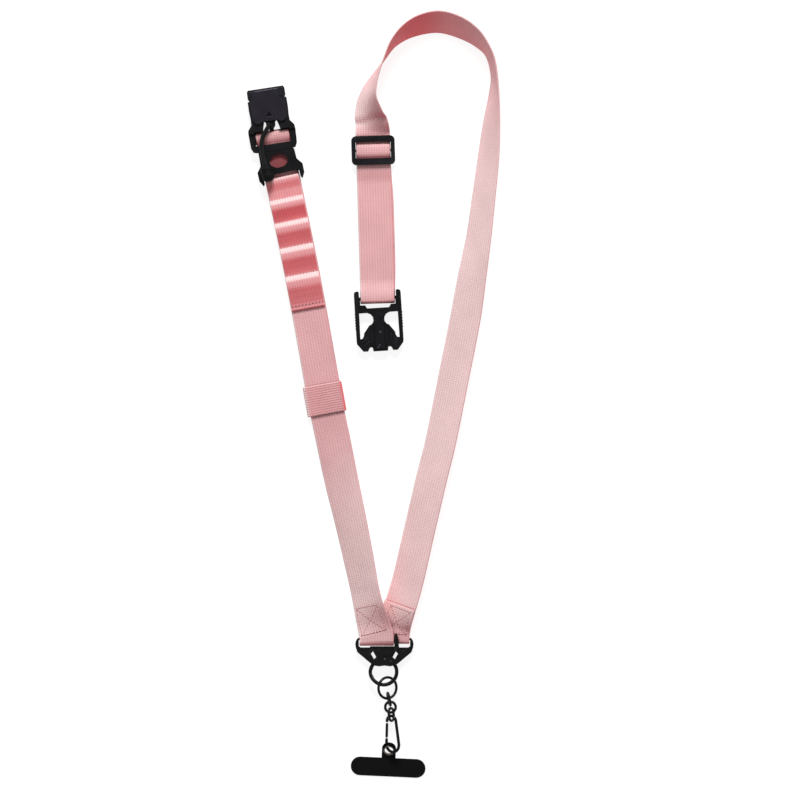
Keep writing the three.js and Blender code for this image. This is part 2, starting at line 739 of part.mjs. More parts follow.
// The pull cord lies over the housing's lower bar and ends in a stopper on the lock

const cordPoints = [
  new THREE.Vector3(-83.3, 383.2, 10.0),
  new THREE.Vector3(-86.6, 377.6, 10.2),
  new THREE.Vector3(-89.2, 372.0, 9.4),
  new THREE.Vector3(-89.6, 366.0, 9.3),
  new THREE.Vector3(-89.0, 359.6, 10.4),
  new THREE.Vector3(-87.0, 352.4, 11.6),
];

function pullCord() {
  const route = new THREE.CatmullRomCurve3(cordPoints);
  const section = new THREE.Shape(ring(cordDiameter / 2, 8).map(([x, y]) => new THREE.Vector2(x, y)));
  return toSolid(new THREE.ExtrudeGeometry(section, { steps: 8, extrudePath: route, bevelEnabled: false }));
}

function cordStopper() {
  const rows = [[0, 0.5], [0.72, 0.5], [1, 0.3], [1, -0.25], [0.7, -0.5], [0, -0.5]];
  const profile = rows.map(([r, h]) => new THREE.Vector2((r * stopperDiameter) / 2, h * stopperLength));
  return toSolid(new THREE.LatheGeometry(profile.reverse(), 12));
}

// Connector plate: a slot whose bar both straps loop round, a horn, and a block for the split ring

const plateRows = [
  { side: 0, up: -0.972 },
  { side: 0.19, up: -1.02 },
  { side: 0.34, up: -0.975 },
  { side: 0.45, up: -0.86 },
  { side: 0.925, up: -0.12 },
  { side: 0.985, up: 0.2 },
  { side: 1, up: 0.42 },
  { side: 0.975, up: 0.62 },
  { side: 0.93, up: 0.76 },
];
const slotRows = [
  { side: 0.48, up: 0.262 },
  { side: 0.51, up: 0.184 },
  { side: 0.815, up: 0.184 },
  { side: 0.878, up: 0.263 },
  { side: 0.878, up: 1.1 },
];
const plateRhombus = [
  { side: 0.282, up: -0.43 },
  { side: 0.357, up: -0.565 },
  { side: 0.463, up: -0.215 },
  { side: 0.39, up: -0.065 },
];
const hornRows = [
  { side: 0.339, up: 0.09 },
  { side: 0.339, up: 0.83 },
  { side: 0.353, up: 1.02 },
  { side: 0.395, up: 1.08 },
  { side: 0.442, up: 1 },
  { side: 0.489, up: 0.7 },
  { side: 0.499, up: 0.09 },
];
const socketRows = [
  { side: 0.339, up: -0.965 },
  { side: 0.44, up: -0.825 },
  { side: 0.452, up: -0.386 },
];
const socketHeight = 7.2;
const hornThickness = 1.8;
const plateReach = 11.4;
const foldOver = plateHeight + plateBar + webThickness + 3.5 * clearance; // above the long strap's fold
const ringTilt = 12; // degrees that the split ring rises out of the block
const splitRingRadius = (splitRingDiameter - splitRingWire) / 2;
const splitRingPlace = new THREE.Vector3(-0.9, -15.6, 5.1);

function splitRingBody(wire, steps) {
  const body = new THREE.TorusGeometry(splitRingRadius, wire / 2, 6, steps);
  return toSolid(body.rotateX(radians(-ringTilt)).translate(...splitRingPlace.toArray()));
}

function connectorPlate() {
  const halfWidth = plateWidth / 2;
  const low = plateHeight - clearance;
  const high = low + plateThickness;
  const shares = (rows) => rows.map(({ side, up }) => [side * halfWidth, up * plateReach]);
  const body = slab(mirrored(plateRows, halfWidth, plateReach), low, high);
  const slot = slab(mirrored(slotRows, halfWidth, plateReach), -1, high + 5);
  const barHalf = 0.9 * halfWidth;
  const bar = block(-barHalf, barHalf, plateNorth, plateNorth + plateBar, plateHeight, plateHeight + plateBar);
  const socket = slab(mirrored(socketRows, halfWidth, plateReach), 0, socketHeight);
  const horn = slab(shares(hornRows), foldOver, foldOver + hornThickness);
  const [postWest, postSouth] = shares(hornRows)[0];
  const post = block(postWest, postWest + 2.6, postSouth - 1.6, postSouth + 1.1, low, foldOver + hornThickness);
  const rhombi = bothSides(plateRhombus, halfWidth, plateReach, -1, socketHeight + 1);
  const tunnel = splitRingBody(splitRingWire + 3.2 * clearance, 16);
  return cut(join(cut(body, slot), bar, socket, post, horn), ...rhombi, tunnel);
}

// Snap hook in its own plane, with its foot at the origin and its length along Y

const footRadius = 5.6;
const headRadius = 4;
const hookTop = hookLength - hookWire;
const gateFoot = 10.4;

function hookPoint(side, up) {
  const share = (up - footRadius) / (hookTop - headRadius - footRadius);
  return new THREE.Vector3(side * THREE.MathUtils.lerp(footRadius, headRadius, share), up, 0);
}

function arcPoints(radius, middle, from, to, steps) {
  return Array.from({ length: steps + 1 }, (_, i) => {
    const angle = radians(from + ((to - from) * i) / steps);
    return new THREE.Vector3(radius * Math.cos(angle), middle + radius * Math.sin(angle), 0);
  });
}

function snapHook() {
  const points = [
    hookPoint(-1, gateFoot - clearance),
    ...arcPoints(footRadius, footRadius, 180, 360, 10),
    ...arcPoints(headRadius, hookTop - headRadius, 0, 180, 10),
    hookPoint(-1, gateFoot + gateLength + 2 * clearance),
  ];
  return flatWire(points, hookWire, false);
}

const hingeAt = hookPoint(-1, gateFoot + gateLength - hookWire / 2);

function hookGate() {
  const points = [hookPoint(-1, gateFoot), hookPoint(-1, gateFoot + gateLength)];
  return flatWire(points.map((point) => point.sub(hingeAt)), hookWire - 0.2, false);
}

// Phone tab: a thin bar with round ends and a tongue that bends up to its eyelet

const eyeletWay = 0.515 * tongueLength; // bend to the eyelet's middle, along the tongue

function phoneTab() {
  const bar = slab(roundedBox(tabLength / 2, -tabWidth, 0, tabWidth / 2 - 0.01), 0, tabThickness);
  const r = tongueWidth / 2;
  const shape = new THREE.Shape();
  shape.moveTo(-r, 0);
  shape.lineTo(r, 0);
  shape.lineTo(r, tongueLength - r);
  shape.absarc(0, tongueLength - r, r, 0, Math.PI);
  shape.closePath();
  const hole = new THREE.Path();
  hole.absarc(0, eyeletWay, eyeletHole / 2 + eyeletRim * 0.6, 0, 2 * Math.PI);
  shape.holes.push(hole);
  const settings = { depth: tabThickness, bevelEnabled: false, curveSegments: 16 };
  const tongue = new THREE.ExtrudeGeometry(shape, settings).rotateX(radians(tongueRise));
  return join(bar, toSolid(tongue));
}

function tabEyelet() {
  const inner = eyeletHole / 2;
  const outer = inner + eyeletRim;
  const seat = 0.2; // space between the tongue and the rim's faces
  const neck = inner + eyeletRim * 0.6 - seat;
  const flange = 0.35;
  const top = tabThickness + seat + flange;
  const low = -seat - flange;
  const rows = [[inner, low], [outer, low], [outer, -seat], [neck, -seat], [neck, tabThickness + seat],
    [outer, tabThickness + seat], [outer, top], [inner, top], [inner, low]];
  const profile = rows.map(([r, h]) => new THREE.Vector2(r, h));
  return toSolid(new THREE.LatheGeometry(profile, 14).rotateX(Math.PI / 2));
}

// Assembly

const strap = new THREE.Group();
strap.name = 'phone_strap';

function add(name, body, skin, parent = strap) {
  const mesh = new THREE.Mesh(toGeometry(body), skin);
  mesh.name = name;
  parent.add(mesh);
  return mesh;
}

function frameGroup({ origin, tilt }) {
  const group = new THREE.Group();
  group.position.copy(origin);
  group.rotation.z = radians(tilt);
  strap.add(group);
  return group;
}

add('strap_long', strapLong(), webbing);
add('strap_short', strapShort(), webbing);
add('loop_band', loopBand(), webbing);
add('keeper_loop', keeperLoop(), webbing, frameGroup(keeper));
add('slider_frame', sliderFrame(), moulded, frameGroup(slider));
const insertFrame = { origin: slider.at(0, -hangLength, 0), tilt: slider.tilt + insertTilt };
add('buckle_insert', buckleInsert(), moulded, frameGroup(insertFrame));
const housingGroup = frameGroup(housing);
add('buckle_housing', buckleHousing(), moulded, housingGroup);
const cover = add('buckle_cover', buckleCover(), mouldedPale, housingGroup);
cover.position.z = housingHeight + clearance;
add('release_lug', releaseLug(), moulded, housingGroup);
add('strap_lock', strapLock(), moulded, frameGroup(lock));
const cord = add('pull_cord', pullCord(), braid);
const stopper = add('cord_stopper', cordStopper(), moulded);
const cordEnd = cordPoints.at(-1);
const cordWay = cordEnd.clone().sub(cordPoints.at(-2)).normalize();
stopper.position.copy(cordEnd).addScaledVector(cordWay, stopperLength / 2 + clearance);
stopper.quaternion.setFromUnitVectors(new THREE.Vector3(0, 1, 0), cordWay.clone().negate());
const plate = add('connector_plate', connectorPlate(), lacquered);
plate.position.x = -0.4;
add('split_ring', splitRingBody(splitRingWire, 16), lacquered);

// The chain below the split ring. Each piece overlaps the one above it by a multiple of the link wire.
const chainRows = [
  { name: 'round_ring', length: roundRingDiameter, width: roundRingDiameter, overlap: 3.9,
    east: 1.8, height: 6.2, roll: -32, turn: 0 },
  { name: 'link_upper', length: linkLength, width: linkWidth, overlap: 3.025,
    east: 2.9, height: 5.8, roll: 80, turn: 12 },
  { name: 'small_ring', length: smallRingDiameter, width: smallRingDiameter, overlap: 2.35,
    east: 4, height: 5.8, roll: 12, turn: 0 },
  { name: 'link_lower', length: linkLength, width: linkWidth, overlap: 2.55,
    east: 4.6, height: 5.5, roll: 90 + hookRoll, turn: 5 },
];
let south = splitRingPlace.y - splitRingDiameter / 2; // lower end of the piece above
for (const { name, length, width, overlap, east, height, roll, turn } of chainRows) {
  const north = south + overlap * linkWire;
  const link = add(name, linkBody(length, width, linkWire, 16), lacquered);
  link.rotation.order = 'ZYX';
  link.rotation.set(0, radians(-roll), radians(turn));
  link.position.set(east, north - length / 2, height);
  south = north - length;
}

const hookOverlap = 2.85; // in wires of a link, as above
const hookFoot = south + hookOverlap * linkWire - hookLength + hookWire / 2;
const hookGroup = new THREE.Group();
hookGroup.position.set(5.9, hookFoot, 5.75);
hookGroup.rotation.order = 'ZYX';
hookGroup.rotation.set(0, radians(-hookRoll), radians(3));
strap.add(hookGroup);
add('snap_hook', snapHook(), lacquered, hookGroup);
add('hook_gate', hookGate(), lacquered, hookGroup).position.copy(hingeAt);

const eyeletNorth = hookFoot + 0.225 * eyeletHole; // the hook's foot lies in the lower half of the hole
const tabGroup = new THREE.Group();
tabGroup.position.set(2.6, eyeletNorth - eyeletWay * Math.cos(radians(tongueRise)), 0);
tabGroup.rotation.z = radians(-2.6);
strap.add(tabGroup);
add('phone_tab', phoneTab(), tabSheet, tabGroup);
const eyelet = add('tab_eyelet', tabEyelet(), eyeletMetal, tabGroup);
eyelet.rotation.x = radians(tongueRise);
eyelet.position.set(0, eyeletWay * Math.cos(radians(tongueRise)), eyeletWay * Math.sin(radians(tongueRise)));

// The whole strap is moved so that its origin is below the middle of its box, cord aside.
strap.updateMatrixWorld(true);
const bounds = new THREE.Box3();
strap.traverse((piece) => {
  if (piece.isMesh && piece !== cord && piece !== stopper) bounds.expandByObject(piece);
});
const middle = bounds.getCenter(new THREE.Vector3());
strap.position.set(-middle.x, -middle.y, -bounds.min.z);

export default strap;
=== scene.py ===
import math
from functools import partial

import bmesh
import bpy
from mathutils import Matrix, Vector


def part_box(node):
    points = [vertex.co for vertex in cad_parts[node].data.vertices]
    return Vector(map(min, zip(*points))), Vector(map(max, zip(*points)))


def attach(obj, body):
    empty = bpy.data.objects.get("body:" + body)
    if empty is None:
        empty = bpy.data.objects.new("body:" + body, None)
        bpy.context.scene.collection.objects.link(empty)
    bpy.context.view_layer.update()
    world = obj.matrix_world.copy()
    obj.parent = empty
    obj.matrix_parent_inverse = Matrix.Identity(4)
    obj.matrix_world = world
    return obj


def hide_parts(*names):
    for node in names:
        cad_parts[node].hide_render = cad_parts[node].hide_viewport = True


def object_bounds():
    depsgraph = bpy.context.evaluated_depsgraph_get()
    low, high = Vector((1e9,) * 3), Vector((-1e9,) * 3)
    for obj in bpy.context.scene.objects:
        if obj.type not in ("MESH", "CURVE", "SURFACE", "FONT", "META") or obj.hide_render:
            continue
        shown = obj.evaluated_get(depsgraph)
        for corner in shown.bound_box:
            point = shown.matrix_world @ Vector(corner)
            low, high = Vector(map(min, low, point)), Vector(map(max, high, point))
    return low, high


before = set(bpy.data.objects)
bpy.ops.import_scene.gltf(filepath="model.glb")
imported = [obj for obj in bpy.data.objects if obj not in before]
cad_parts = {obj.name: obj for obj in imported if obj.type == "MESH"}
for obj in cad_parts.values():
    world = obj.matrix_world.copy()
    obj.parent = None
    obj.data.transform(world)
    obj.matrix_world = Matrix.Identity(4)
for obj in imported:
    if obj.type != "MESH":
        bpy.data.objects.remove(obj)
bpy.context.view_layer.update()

# The drawing is in millimetres, with its origin at the middle of the connector plate and
# +Y up the straps. place() turns a drawing point into the frame's metres.
plate = {"west": -21.65, "south": -11.628, "bar": 1.8, "north": 7.4, "height": 3.0}
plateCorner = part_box("connector_plate")[0] * 1000
offset = Vector((plateCorner.x - plate["west"], plateCorner.y - plate["south"],
                 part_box("buckle_housing")[0].z * 1000))


def place(point):
    return (Vector(point) + offset) / 1000


# Camera, straight above like the photograph

shot = {"pixel": 0.729, "size": 800, "middle": (10.935, 182.25), "height": 3000.0, "sensor": 36.0}


def addObject(name, data):
    made = bpy.data.objects.new(name, data)
    bpy.context.scene.collection.objects.link(made)
    return made


def makeCamera():
    data = bpy.data.cameras.new("camera")
    data.sensor_width = shot["sensor"]
    data.lens = shot["sensor"] * shot["height"] / (shot["pixel"] * shot["size"])
    camera = addObject("camera", data)
    camera.location = place((*shot["middle"], shot["height"]))
    bpy.context.scene.camera = camera


makeCamera()
print("camera ready")


# Materials

def toLinear(code):
    parts = [int(code[i:i + 2], 16) / 255 for i in (1, 3, 5)]
    return [v / 12.92 if v <= 0.04045 else ((v + 0.055) / 1.055) ** 2.4 for v in parts] + [1.0]


def linkTo(node, sources):
    # A node given as a source stands for its first output.
    for key, source in sources.items():
        output = source.outputs[0] if isinstance(source, bpy.types.Node) else source
        node.id_data.links.new(output, node.inputs[key])


def addNode(tree, kind, settings, links=None):
    node = tree.nodes.new("ShaderNode" + kind)
    for key, value in settings.items():
        if isinstance(key, int) or key in node.inputs:
            node.inputs[key].default_value = value
        else:
            setattr(node, key, value)
    linkTo(node, links or {})
    return node


def newMaterial(name, settings):
    material = bpy.data.materials.new(name)
    material.use_nodes = True
    shader = material.node_tree.nodes["Principled BSDF"]
    for key, value in settings.items():
        shader.inputs[key].default_value = value
    return material, partial(addNode, material.node_tree), shader


def finishSurface(add, shader, colour, height, depth, strength):
    # depth is the relief in millimetres
    bump = add("Bump", {"Strength": strength, "Distance": depth / 1000}, {"Height": height})
    linkTo(shader, {"Normal": bump, "Base Color": colour})


web = {"width": 25.0, "thickness": 1.2, "gap": 0.3, "ribDepth": 0.1, "step": 2.2}
keeper = {"length": 22.0, "half": 13.8, "low": 0.6, "high": 5.4, "corner": 2.0, "sag": 0.15}
# The first three colours are painted light and shade: a pale colour for highlights and worn selvedges, a
# darker red for the weave's valleys, and a deep red for occluded cloth; the fourth tints the sheen.
weave = {
    "highlightAndWear": "#F9DCDB", "valleyShade": "#C04B54", "occludedShade": "#7E141C", "worn": "#F6D2D2",
    "ribs": 13, "cell": 1.6, "relief": 0.22, "filament": 0.3, "reach": 7.0,
}
# Painted light and shade: the yarn is painted palest where the cloth turns to the light direction,
# and reddest where it turns away: low and flat are the shares of the light for the shade colour and for the
# plain colour.
strapYarn = {
    "shadeColour": "#F0646B", "plain": "#ECB5B7", "light": (-0.62, 0.22, 0.753), "low": 0.02, "flat": 0.755,
}
sleeveYarn = {**strapYarn, "plain": "#E3A4A6"}
# The puffed band's painted light and shade use their own light direction and shares.
bandYarn = {
    "shadeColour": "#EC686F", "plain": "#EBA9AB", "light": (-0.2, 0.62, 0.759), "low": 0.48, "flat": 0.86,
}


def wovenPolyester(name, width, yarn, shadeSpot=None):
    # Ribbed polyester webbing: warp cords lie side by side and the weft dips between them,
    # so small pale pillows stand over valleys, which are painted in a darker, redder shade.
    material, add, shader = newMaterial(name, {
        "Roughness": 0.62, "Sheen Weight": 0.25, "Sheen Roughness": 0.4,
        "Sheen Tint": toLinear(weave["worn"]), "Specular IOR Level": 0.45, "IOR": 1.5,
    })
    uv = add("UVMap", {"uv_map": "weave"})
    axes = add("SeparateXYZ", {}, {0: uv})
    waves = []
    for axis, length, sharp in ((0, width / weave["ribs"], 0.6), (1, weave["cell"], 0.3)):
        count = add("Math", {"operation": "DIVIDE", 1: length}, {0: axes.outputs[axis]})
        turn = add("Math", {"operation": "MULTIPLY", 1: math.pi}, {0: count})
        wave = add("Math", {"operation": "SINE"}, {0: turn})
        size = add("Math", {"operation": "ABSOLUTE"}, {0: wave})
        waves.append(add("Math", {"operation": "POWER", 1: sharp}, {0: size}))
    pillow = add("Math", {"operation": "MULTIPLY"}, {0: waves[0], 1: waves[1]})
    spot = add("TexCoord", {}).outputs["Object"]
    fibre = add("TexNoise", {"Scale": 1000 / weave["filament"], "Detail": 2.0}, {"Vector": spot})
    patch = add("TexNoise", {"Scale": 45.0, "Detail": 3.0}, {"Vector": spot})
    # Painted light and shade: the colour is painted pale where the cloth faces the light direction, and
    # full red away from it.
    form = add("NewGeometry", {})
    facing = add("VectorMath", {"operation": "DOT_PRODUCT", 1: yarn["light"]},
                 {0: form.outputs["Normal"]}).outputs["Value"]
    shadeToPlain = add("MapRange", {"From Min": yarn["low"], "From Max": yarn["flat"]}, {0: facing})
    body = add("Mix", {
        "data_type": "RGBA", 6: toLinear(yarn["shadeColour"]), 7: toLinear(yarn["plain"]),
    }, {0: shadeToPlain})
    # Painted highlight: past the flat share the colour is paled further towards the highlight colour.
    rise = add("MapRange", {"From Min": yarn["flat"], "From Max": 1.0}, {0: facing})
    # The selvedges are worn pale.
    aside = add("Math", {"operation": "SUBTRACT", 1: width / 2}, {0: axes})
    distance = add("Math", {"operation": "ABSOLUTE"}, {0: aside})
    rim = add("MapRange", {
        "From Min": width / 2 - 0.6, "From Max": width / 2 - 0.2, "To Max": 0.6,
    }, {0: distance})
    # The painted highlight and the worn selvedges both pale the colour towards the same pale colour.
    pale = add("Math", {"operation": "MAXIMUM"}, {0: rise, 1: rim})
    ground = add("Mix", {"data_type": "RGBA", 7: toLinear(weave["highlightAndWear"])}, {0: pale, 6: body.outputs[2]})
    cover = add("MapRange", {"From Max": 0.8, "To Min": 0.68}, {0: pillow})
    # Painted shade: the weave's valleys are mixed towards a darker, redder colour.
    top = add("Mix", {"data_type": "RGBA", 6: toLinear(weave["valleyShade"])},
              {0: cover, 7: ground.outputs[2]})
    shade = add("MapRange", {"From Min": 0.3, "From Max": 0.7, "To Min": 0.93, "To Max": 1.04},
                {0: patch})
    fuzz = add("MapRange", {"From Min": 0.3, "From Max": 0.7, "To Min": 0.95, "To Max": 1.03}, {0: fibre})
    both = add("Math", {"operation": "MULTIPLY"}, {0: shade, 1: fuzz})
    # Painted shade: where the ambient-occlusion node finds close layers of cloth, the colour turns a deeper
    # red.
    hollow = add("AmbientOcclusion", {"Distance": weave["reach"] / 1000, "samples": 8})
    depth = add("MapRange", {"From Min": 0.15, "From Max": 0.75}, {0: hollow.outputs["AO"]})
    if shadeSpot:
        # Painted shade: the webbing is darkened round a point at the bottom of the lock's window, where
        # little light reaches.
        away = add("VectorMath", {"operation": "DISTANCE", 1: place(shadeSpot["middle"])}, {0: spot})
        lit = add("MapRange", {
            "From Min": shadeSpot["inner"] / 1000, "From Max": shadeSpot["outer"] / 1000, "To Min": 0.1,
        }, {0: away.outputs["Value"]})
        depth = add("Math", {"operation": "MINIMUM"}, {0: depth, 1: lit})
    occlusionShaded = add("Mix", {"data_type": "RGBA", 6: toLinear(weave["occludedShade"])}, {0: depth, 7: top.outputs[2]})
    toned = add("VectorMath", {"operation": "SCALE"}, {0: occlusionShaded.outputs[2], "Scale": both})
    relief = add("Math", {"operation": "MULTIPLY_ADD", 1: 0.15}, {0: fibre, 2: pillow})
    finishSurface(add, shader, toned, relief, weave["relief"], 0.7)
    return material


def mouldedNylon(name, colour, rim, roughness, grain=0.45, relief=0.03):
    # Injection-moulded nylon from a spark-eroded mould: an even fine grain, satin gloss,
    # and edges mixed a little paler where the mesh is most convex.
    material, add, shader = newMaterial(name, {
        "Roughness": roughness, "IOR": 1.53, "Specular IOR Level": 0.16,
    })
    spot = add("TexCoord", {}).outputs["Object"]
    fine = add("TexNoise", {"Scale": 1000 / grain, "Detail": 3.0}, {"Vector": spot})
    cloud = add("TexNoise", {"Scale": 120.0, "Detail": 4.0}, {"Vector": spot})
    form = add("NewGeometry", {})
    edge = add("MapRange", {"From Min": 0.5, "From Max": 0.62, "To Max": 0.7},
               {0: form.outputs["Pointiness"]})
    mottled = add("Mix", {"data_type": "RGBA", 6: toLinear(colour), 7: toLinear(rim)}, {0: edge})
    shade = add("MapRange", {"From Min": 0.3, "From Max": 0.7, "To Min": 0.85, "To Max": 1.12},
                {0: cloud})
    toned = add("VectorMath", {"operation": "SCALE"}, {0: mottled.outputs[2], "Scale": shade})
    rough = add("MapRange", {
        "From Min": 0.3, "From Max": 0.7, "To Min": roughness - 0.05, "To Max": roughness + 0.07,
    }, {0: cloud})
    linkTo(shader, {"Roughness": rough})
    finishSurface(add, shader, toned, fine, relief, 0.6)
    return material


def lacqueredSteel(name, colour, rim):
    # Steel wire under baked black lacquer: a smooth glossy film that thins to grey on the bends.
    material, add, shader = newMaterial(name, {
        "Roughness": 0.3, "Metallic": 0.1, "Specular IOR Level": 0.2,
        "Coat Weight": 0.15, "Coat Roughness": 0.15,
    })
    spot = add("TexCoord", {}).outputs["Object"]
    film = add("TexNoise", {"Scale": 700.0, "Detail": 2.0}, {"Vector": spot})
    wear = add("TexNoise", {"Scale": 260.0, "Detail": 5.0}, {"Vector": spot})
    amount = add("MapRange", {"From Min": 0.58, "From Max": 0.72, "To Max": 0.6}, {0: wear})
    toned = add("Mix", {"data_type": "RGBA", 6: toLinear(colour), 7: toLinear(rim)}, {0: amount})
    finishSurface(add, shader, toned.outputs[2], film, 0.02, 0.4)
    return material


def pressedSheet(name, colour, rim):
    # Thin fibre-backed polyurethane sheet, die cut: dull, with a very fine cross-laid texture.
    material, add, shader = newMaterial(name, {
        "Roughness": 0.7, "IOR": 1.5, "Specular IOR Level": 0.15,
    })
    spot = add("TexCoord", {}).outputs["Object"]
    axes = add("SeparateXYZ", {}, {0: spot})
    waves = []
    for i in (0, 1):  # thread spacing 0.9 mm, drawn coarser than the real 0.4 mm so that it shows
        turn = add("Math", {"operation": "MULTIPLY", 1: 2000 * math.pi / 0.9}, {0: axes.outputs[i]})
        waves.append(add("Math", {"operation": "SINE"}, {0: turn}))
    threads = add("Math", {"operation": "MULTIPLY"}, {0: waves[0], 1: waves[1]})
    cloud = add("TexNoise", {"Scale": 90.0, "Detail": 4.0}, {"Vector": spot})
    lint = add("MapRange", {"From Min": 0.35, "From Max": 0.75, "To Max": 0.5}, {0: cloud})
    toned = add("Mix", {"data_type": "RGBA", 6: toLinear(colour), 7: toLinear(rim)}, {0: lint})
    finishSurface(add, shader, toned.outputs[2], threads, 0.02, 0.5)
    return material


def platedBrass(name, colour, dark):
    # Brass eyelet under dull nickel plate, spun and rolled over: faint rings in a soft metal gloss.
    material, add, shader = newMaterial(name, {"Roughness": 0.32, "Metallic": 1.0})
    spot = add("TexCoord", {}).outputs["Object"]
    spun = add("TexNoise", {"Scale": 900.0, "Detail": 3.0}, {"Vector": spot})
    toned = add("Mix", {"data_type": "RGBA", 6: toLinear(dark), 7: toLinear(colour)}, {0: spun})
    finishSurface(add, shader, toned.outputs[2], spun, 0.015, 0.4)
    return material


def braidedCord(name, colour, rim):
    # Round polyester braid: eight strands cross over each other at a slant, dull and slightly furry.
    material, add, shader = newMaterial(name, {
        "Roughness": 0.7, "Sheen Weight": 0.1, "Sheen Roughness": 0.5, "Specular IOR Level": 0.2,
    })
    uv = add("UVMap", {"uv_map": "weave"})
    axes = add("SeparateXYZ", {}, {0: uv})
    waves = []
    for way in (1.0, -1.0):  # strands cross every 1.6 mm of length and four times round
        lap = add("Math", {"operation": "MULTIPLY", 1: way * math.pi * 4}, {0: axes})
        slant = add("Math", {"operation": "MULTIPLY_ADD", 1: math.pi / 1.6}, {0: axes.outputs[1], 2: lap})
        wave = add("Math", {"operation": "SINE"}, {0: slant})
        waves.append(add("Math", {"operation": "ABSOLUTE"}, {0: wave}))
    strands = add("Math", {"operation": "MULTIPLY"}, {0: waves[0], 1: waves[1]})
    toned = add("Mix", {"data_type": "RGBA", 6: toLinear(colour), 7: toLinear(rim)}, {0: strands})
    finishSurface(add, shader, toned.outputs[2], strands, 0.3, 0.8)
    return material


def spunThread(name, colour, dark):
    # Twisted polyester sewing thread: a soft satin with a fine slanting twist.
    material, add, shader = newMaterial(name, {"Roughness": 0.5, "Sheen Weight": 0.3})
    spot = add("TexCoord", {}).outputs["Object"]
    twist = add("TexWave", {"Scale": 1000 / 0.5, "Distortion": 1.0}, {"Vector": spot})
    toned = add("Mix", {"data_type": "RGBA", 6: toLinear(dark), 7: toLinear(colour)}, {0: twist})
    finishSurface(add, shader, toned.outputs[2], twist, 0.05, 0.5)
    return material


# Painted shade: a darkened spot on the webbing in the strap lock's window.
lockWindowShade = {"middle": (-77.3, 356.5, 3.6), "inner": 6.0, "outer": 8.5}
webbing = wovenPolyester("woven_polyester_webbing", web["width"], strapYarn, lockWindowShade)
bandWeave = wovenPolyester("woven_polyester_band", web["width"], bandYarn)
sleeveWeave = wovenPolyester("woven_polyester_sleeve", keeper["length"], sleeveYarn)
blackNylon = mouldedNylon("moulded_nylon_black", "#09090B", "#25252B", 0.42)
greyNylon = mouldedNylon("moulded_nylon_charcoal", "#1C1922", "#3C3842", 0.5)
blackSteel = lacqueredSteel("lacquered_steel_wire", "#0A0A0C", "#2C2C32")
tabSheet = pressedSheet("pressed_polyurethane_sheet", "#050507", "#0D0D10")
dullNickel = platedBrass("nickel_plated_eyelet", "#A39B8C", "#5F594F")
blackBraid = braidedCord("braided_polyester_cord", "#040405", "#0F0F12")
mattNylon = mouldedNylon("moulded_nylon_matt", "#060607", "#141417", 0.75)
# Pale nylon: a pale dot on the insert, and painted highlights on the insert and the cover's top edge.
paleNylon = mouldedNylon("moulded_nylon_pale", "#4A4652", "#605C68", 0.5)
pinkThread = spunThread("spun_polyester_thread", "#EDB6B6", "#DFA0A2")
needleHole = spunThread("needle_hole_shadow", "#96343D", "#7A222B")
print("materials ready")


# Meshes

def makePiece(name, vertices, faces, material, node=None, uvs=None, body="root"):
    mesh = bpy.data.meshes.new(name)
    mesh.from_pydata([place(v) for v in vertices], [], faces)
    mesh.materials.append(material)
    if uvs:
        layer = mesh.uv_layers.new(name="weave")
        for loop in mesh.loops:
            layer.data[loop.index].uv = uvs[loop.vertex_index]
    work = bmesh.new()
    work.from_mesh(mesh)
    bmesh.ops.recalc_face_normals(work, faces=work.faces)
    for face in work.faces:
        face.smooth = len(face.verts) < 5
    work.to_mesh(mesh)
    work.free()
    piece = addObject(name, mesh)
    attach(piece, body)
    if node:
        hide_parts(node)
    return piece


def sweepFaces(rings, count, closed, base=0):
    faces = []
    for i in range(rings if closed else rings - 1):
        here = base + i * count
        there = base + ((i + 1) % rings) * count
        for j in range(count):
            k = (j + 1) % count
            faces.append((here + j, there + j, there + k, here + k))
    if not closed:
        end = base + (rings - 1) * count
        faces.append(tuple(range(base, base + count)))
        faces.append(tuple(range(end + count - 1, end - 1, -1)))
    return faces


def roundSection(radius, sides, squeeze=1.0):
    turns = [2 * math.pi * i / sides for i in range(sides)]
    return [(radius * math.cos(a), radius * squeeze * math.sin(a)) for a in turns]


def wireFrames(points, closed, normal):
    # Frames along a wire that lies in a plane with that normal
    frames = []
    last = len(points) - 1
    for i, point in enumerate(points):
        before = points[(i - 1) % len(points)] if closed else points[max(i - 1, 0)]
        after = points[(i + 1) % len(points)] if closed else points[min(i + 1, last)]
        along = (after - before).normalized()
        frames.append((point, along.cross(normal).normalized(), normal))
    return frames


def easedEnd(i, last, shares):
    # Full size but for the first few and the last few steps
    fromEnd = min(i, last - i)
    return shares[fromEnd] if fromEnd < len(shares) else 1.0


def makeWire(name, points, diameter, closed, normal, node, body="root"):
    section = roundSection(diameter / 2, 16)
    frames = wireFrames(points, closed, normal)
    vertices = []
    count = len(frames)
    for i, (point, across, out) in enumerate(frames):
        shrink = 1.0 if closed else easedEnd(i, count - 1, (0.55, 0.85, 0.97))
        vertices += [point + across * s * shrink + out * t * shrink for s, t in section]
    faces = sweepFaces(count, len(section), closed)
    makePiece(name, vertices, faces, blackSteel, node, body=body)


def hermite(points, gaps, i, u):
    # Smooth curve through unevenly spaced points, by weighted slopes
    def slope(k):
        if k <= 0:
            return (points[1] - points[0]) / gaps[0]
        if k >= len(points) - 1:
            return (points[-1] - points[-2]) / gaps[-1]
        before = (points[k] - points[k - 1]) / gaps[k - 1]
        after = (points[k + 1] - points[k]) / gaps[k]
        return (before * gaps[k] + after * gaps[k - 1]) / (gaps[k - 1] + gaps[k])
    start, end, gap = points[i], points[i + 1], gaps[i]
    a = 2 * u ** 3 - 3 * u ** 2 + 1
    b = u ** 3 - 2 * u ** 2 + u
    c = -2 * u ** 3 + 3 * u ** 2
    d = u ** 3 - u ** 2
    return start * a + slope(i) * (b * gap) + end * c + slope(i + 1) * (d * gap)


# Webbing: layers lie one pitch apart, and a layer's centre is half a thickness above its level.

half = web["thickness"] / 2
pitch = web["thickness"] + web["gap"]
second, third = half + pitch, half + 2 * pitch
reach = {"arm": 80.0, "strap": 457.0}


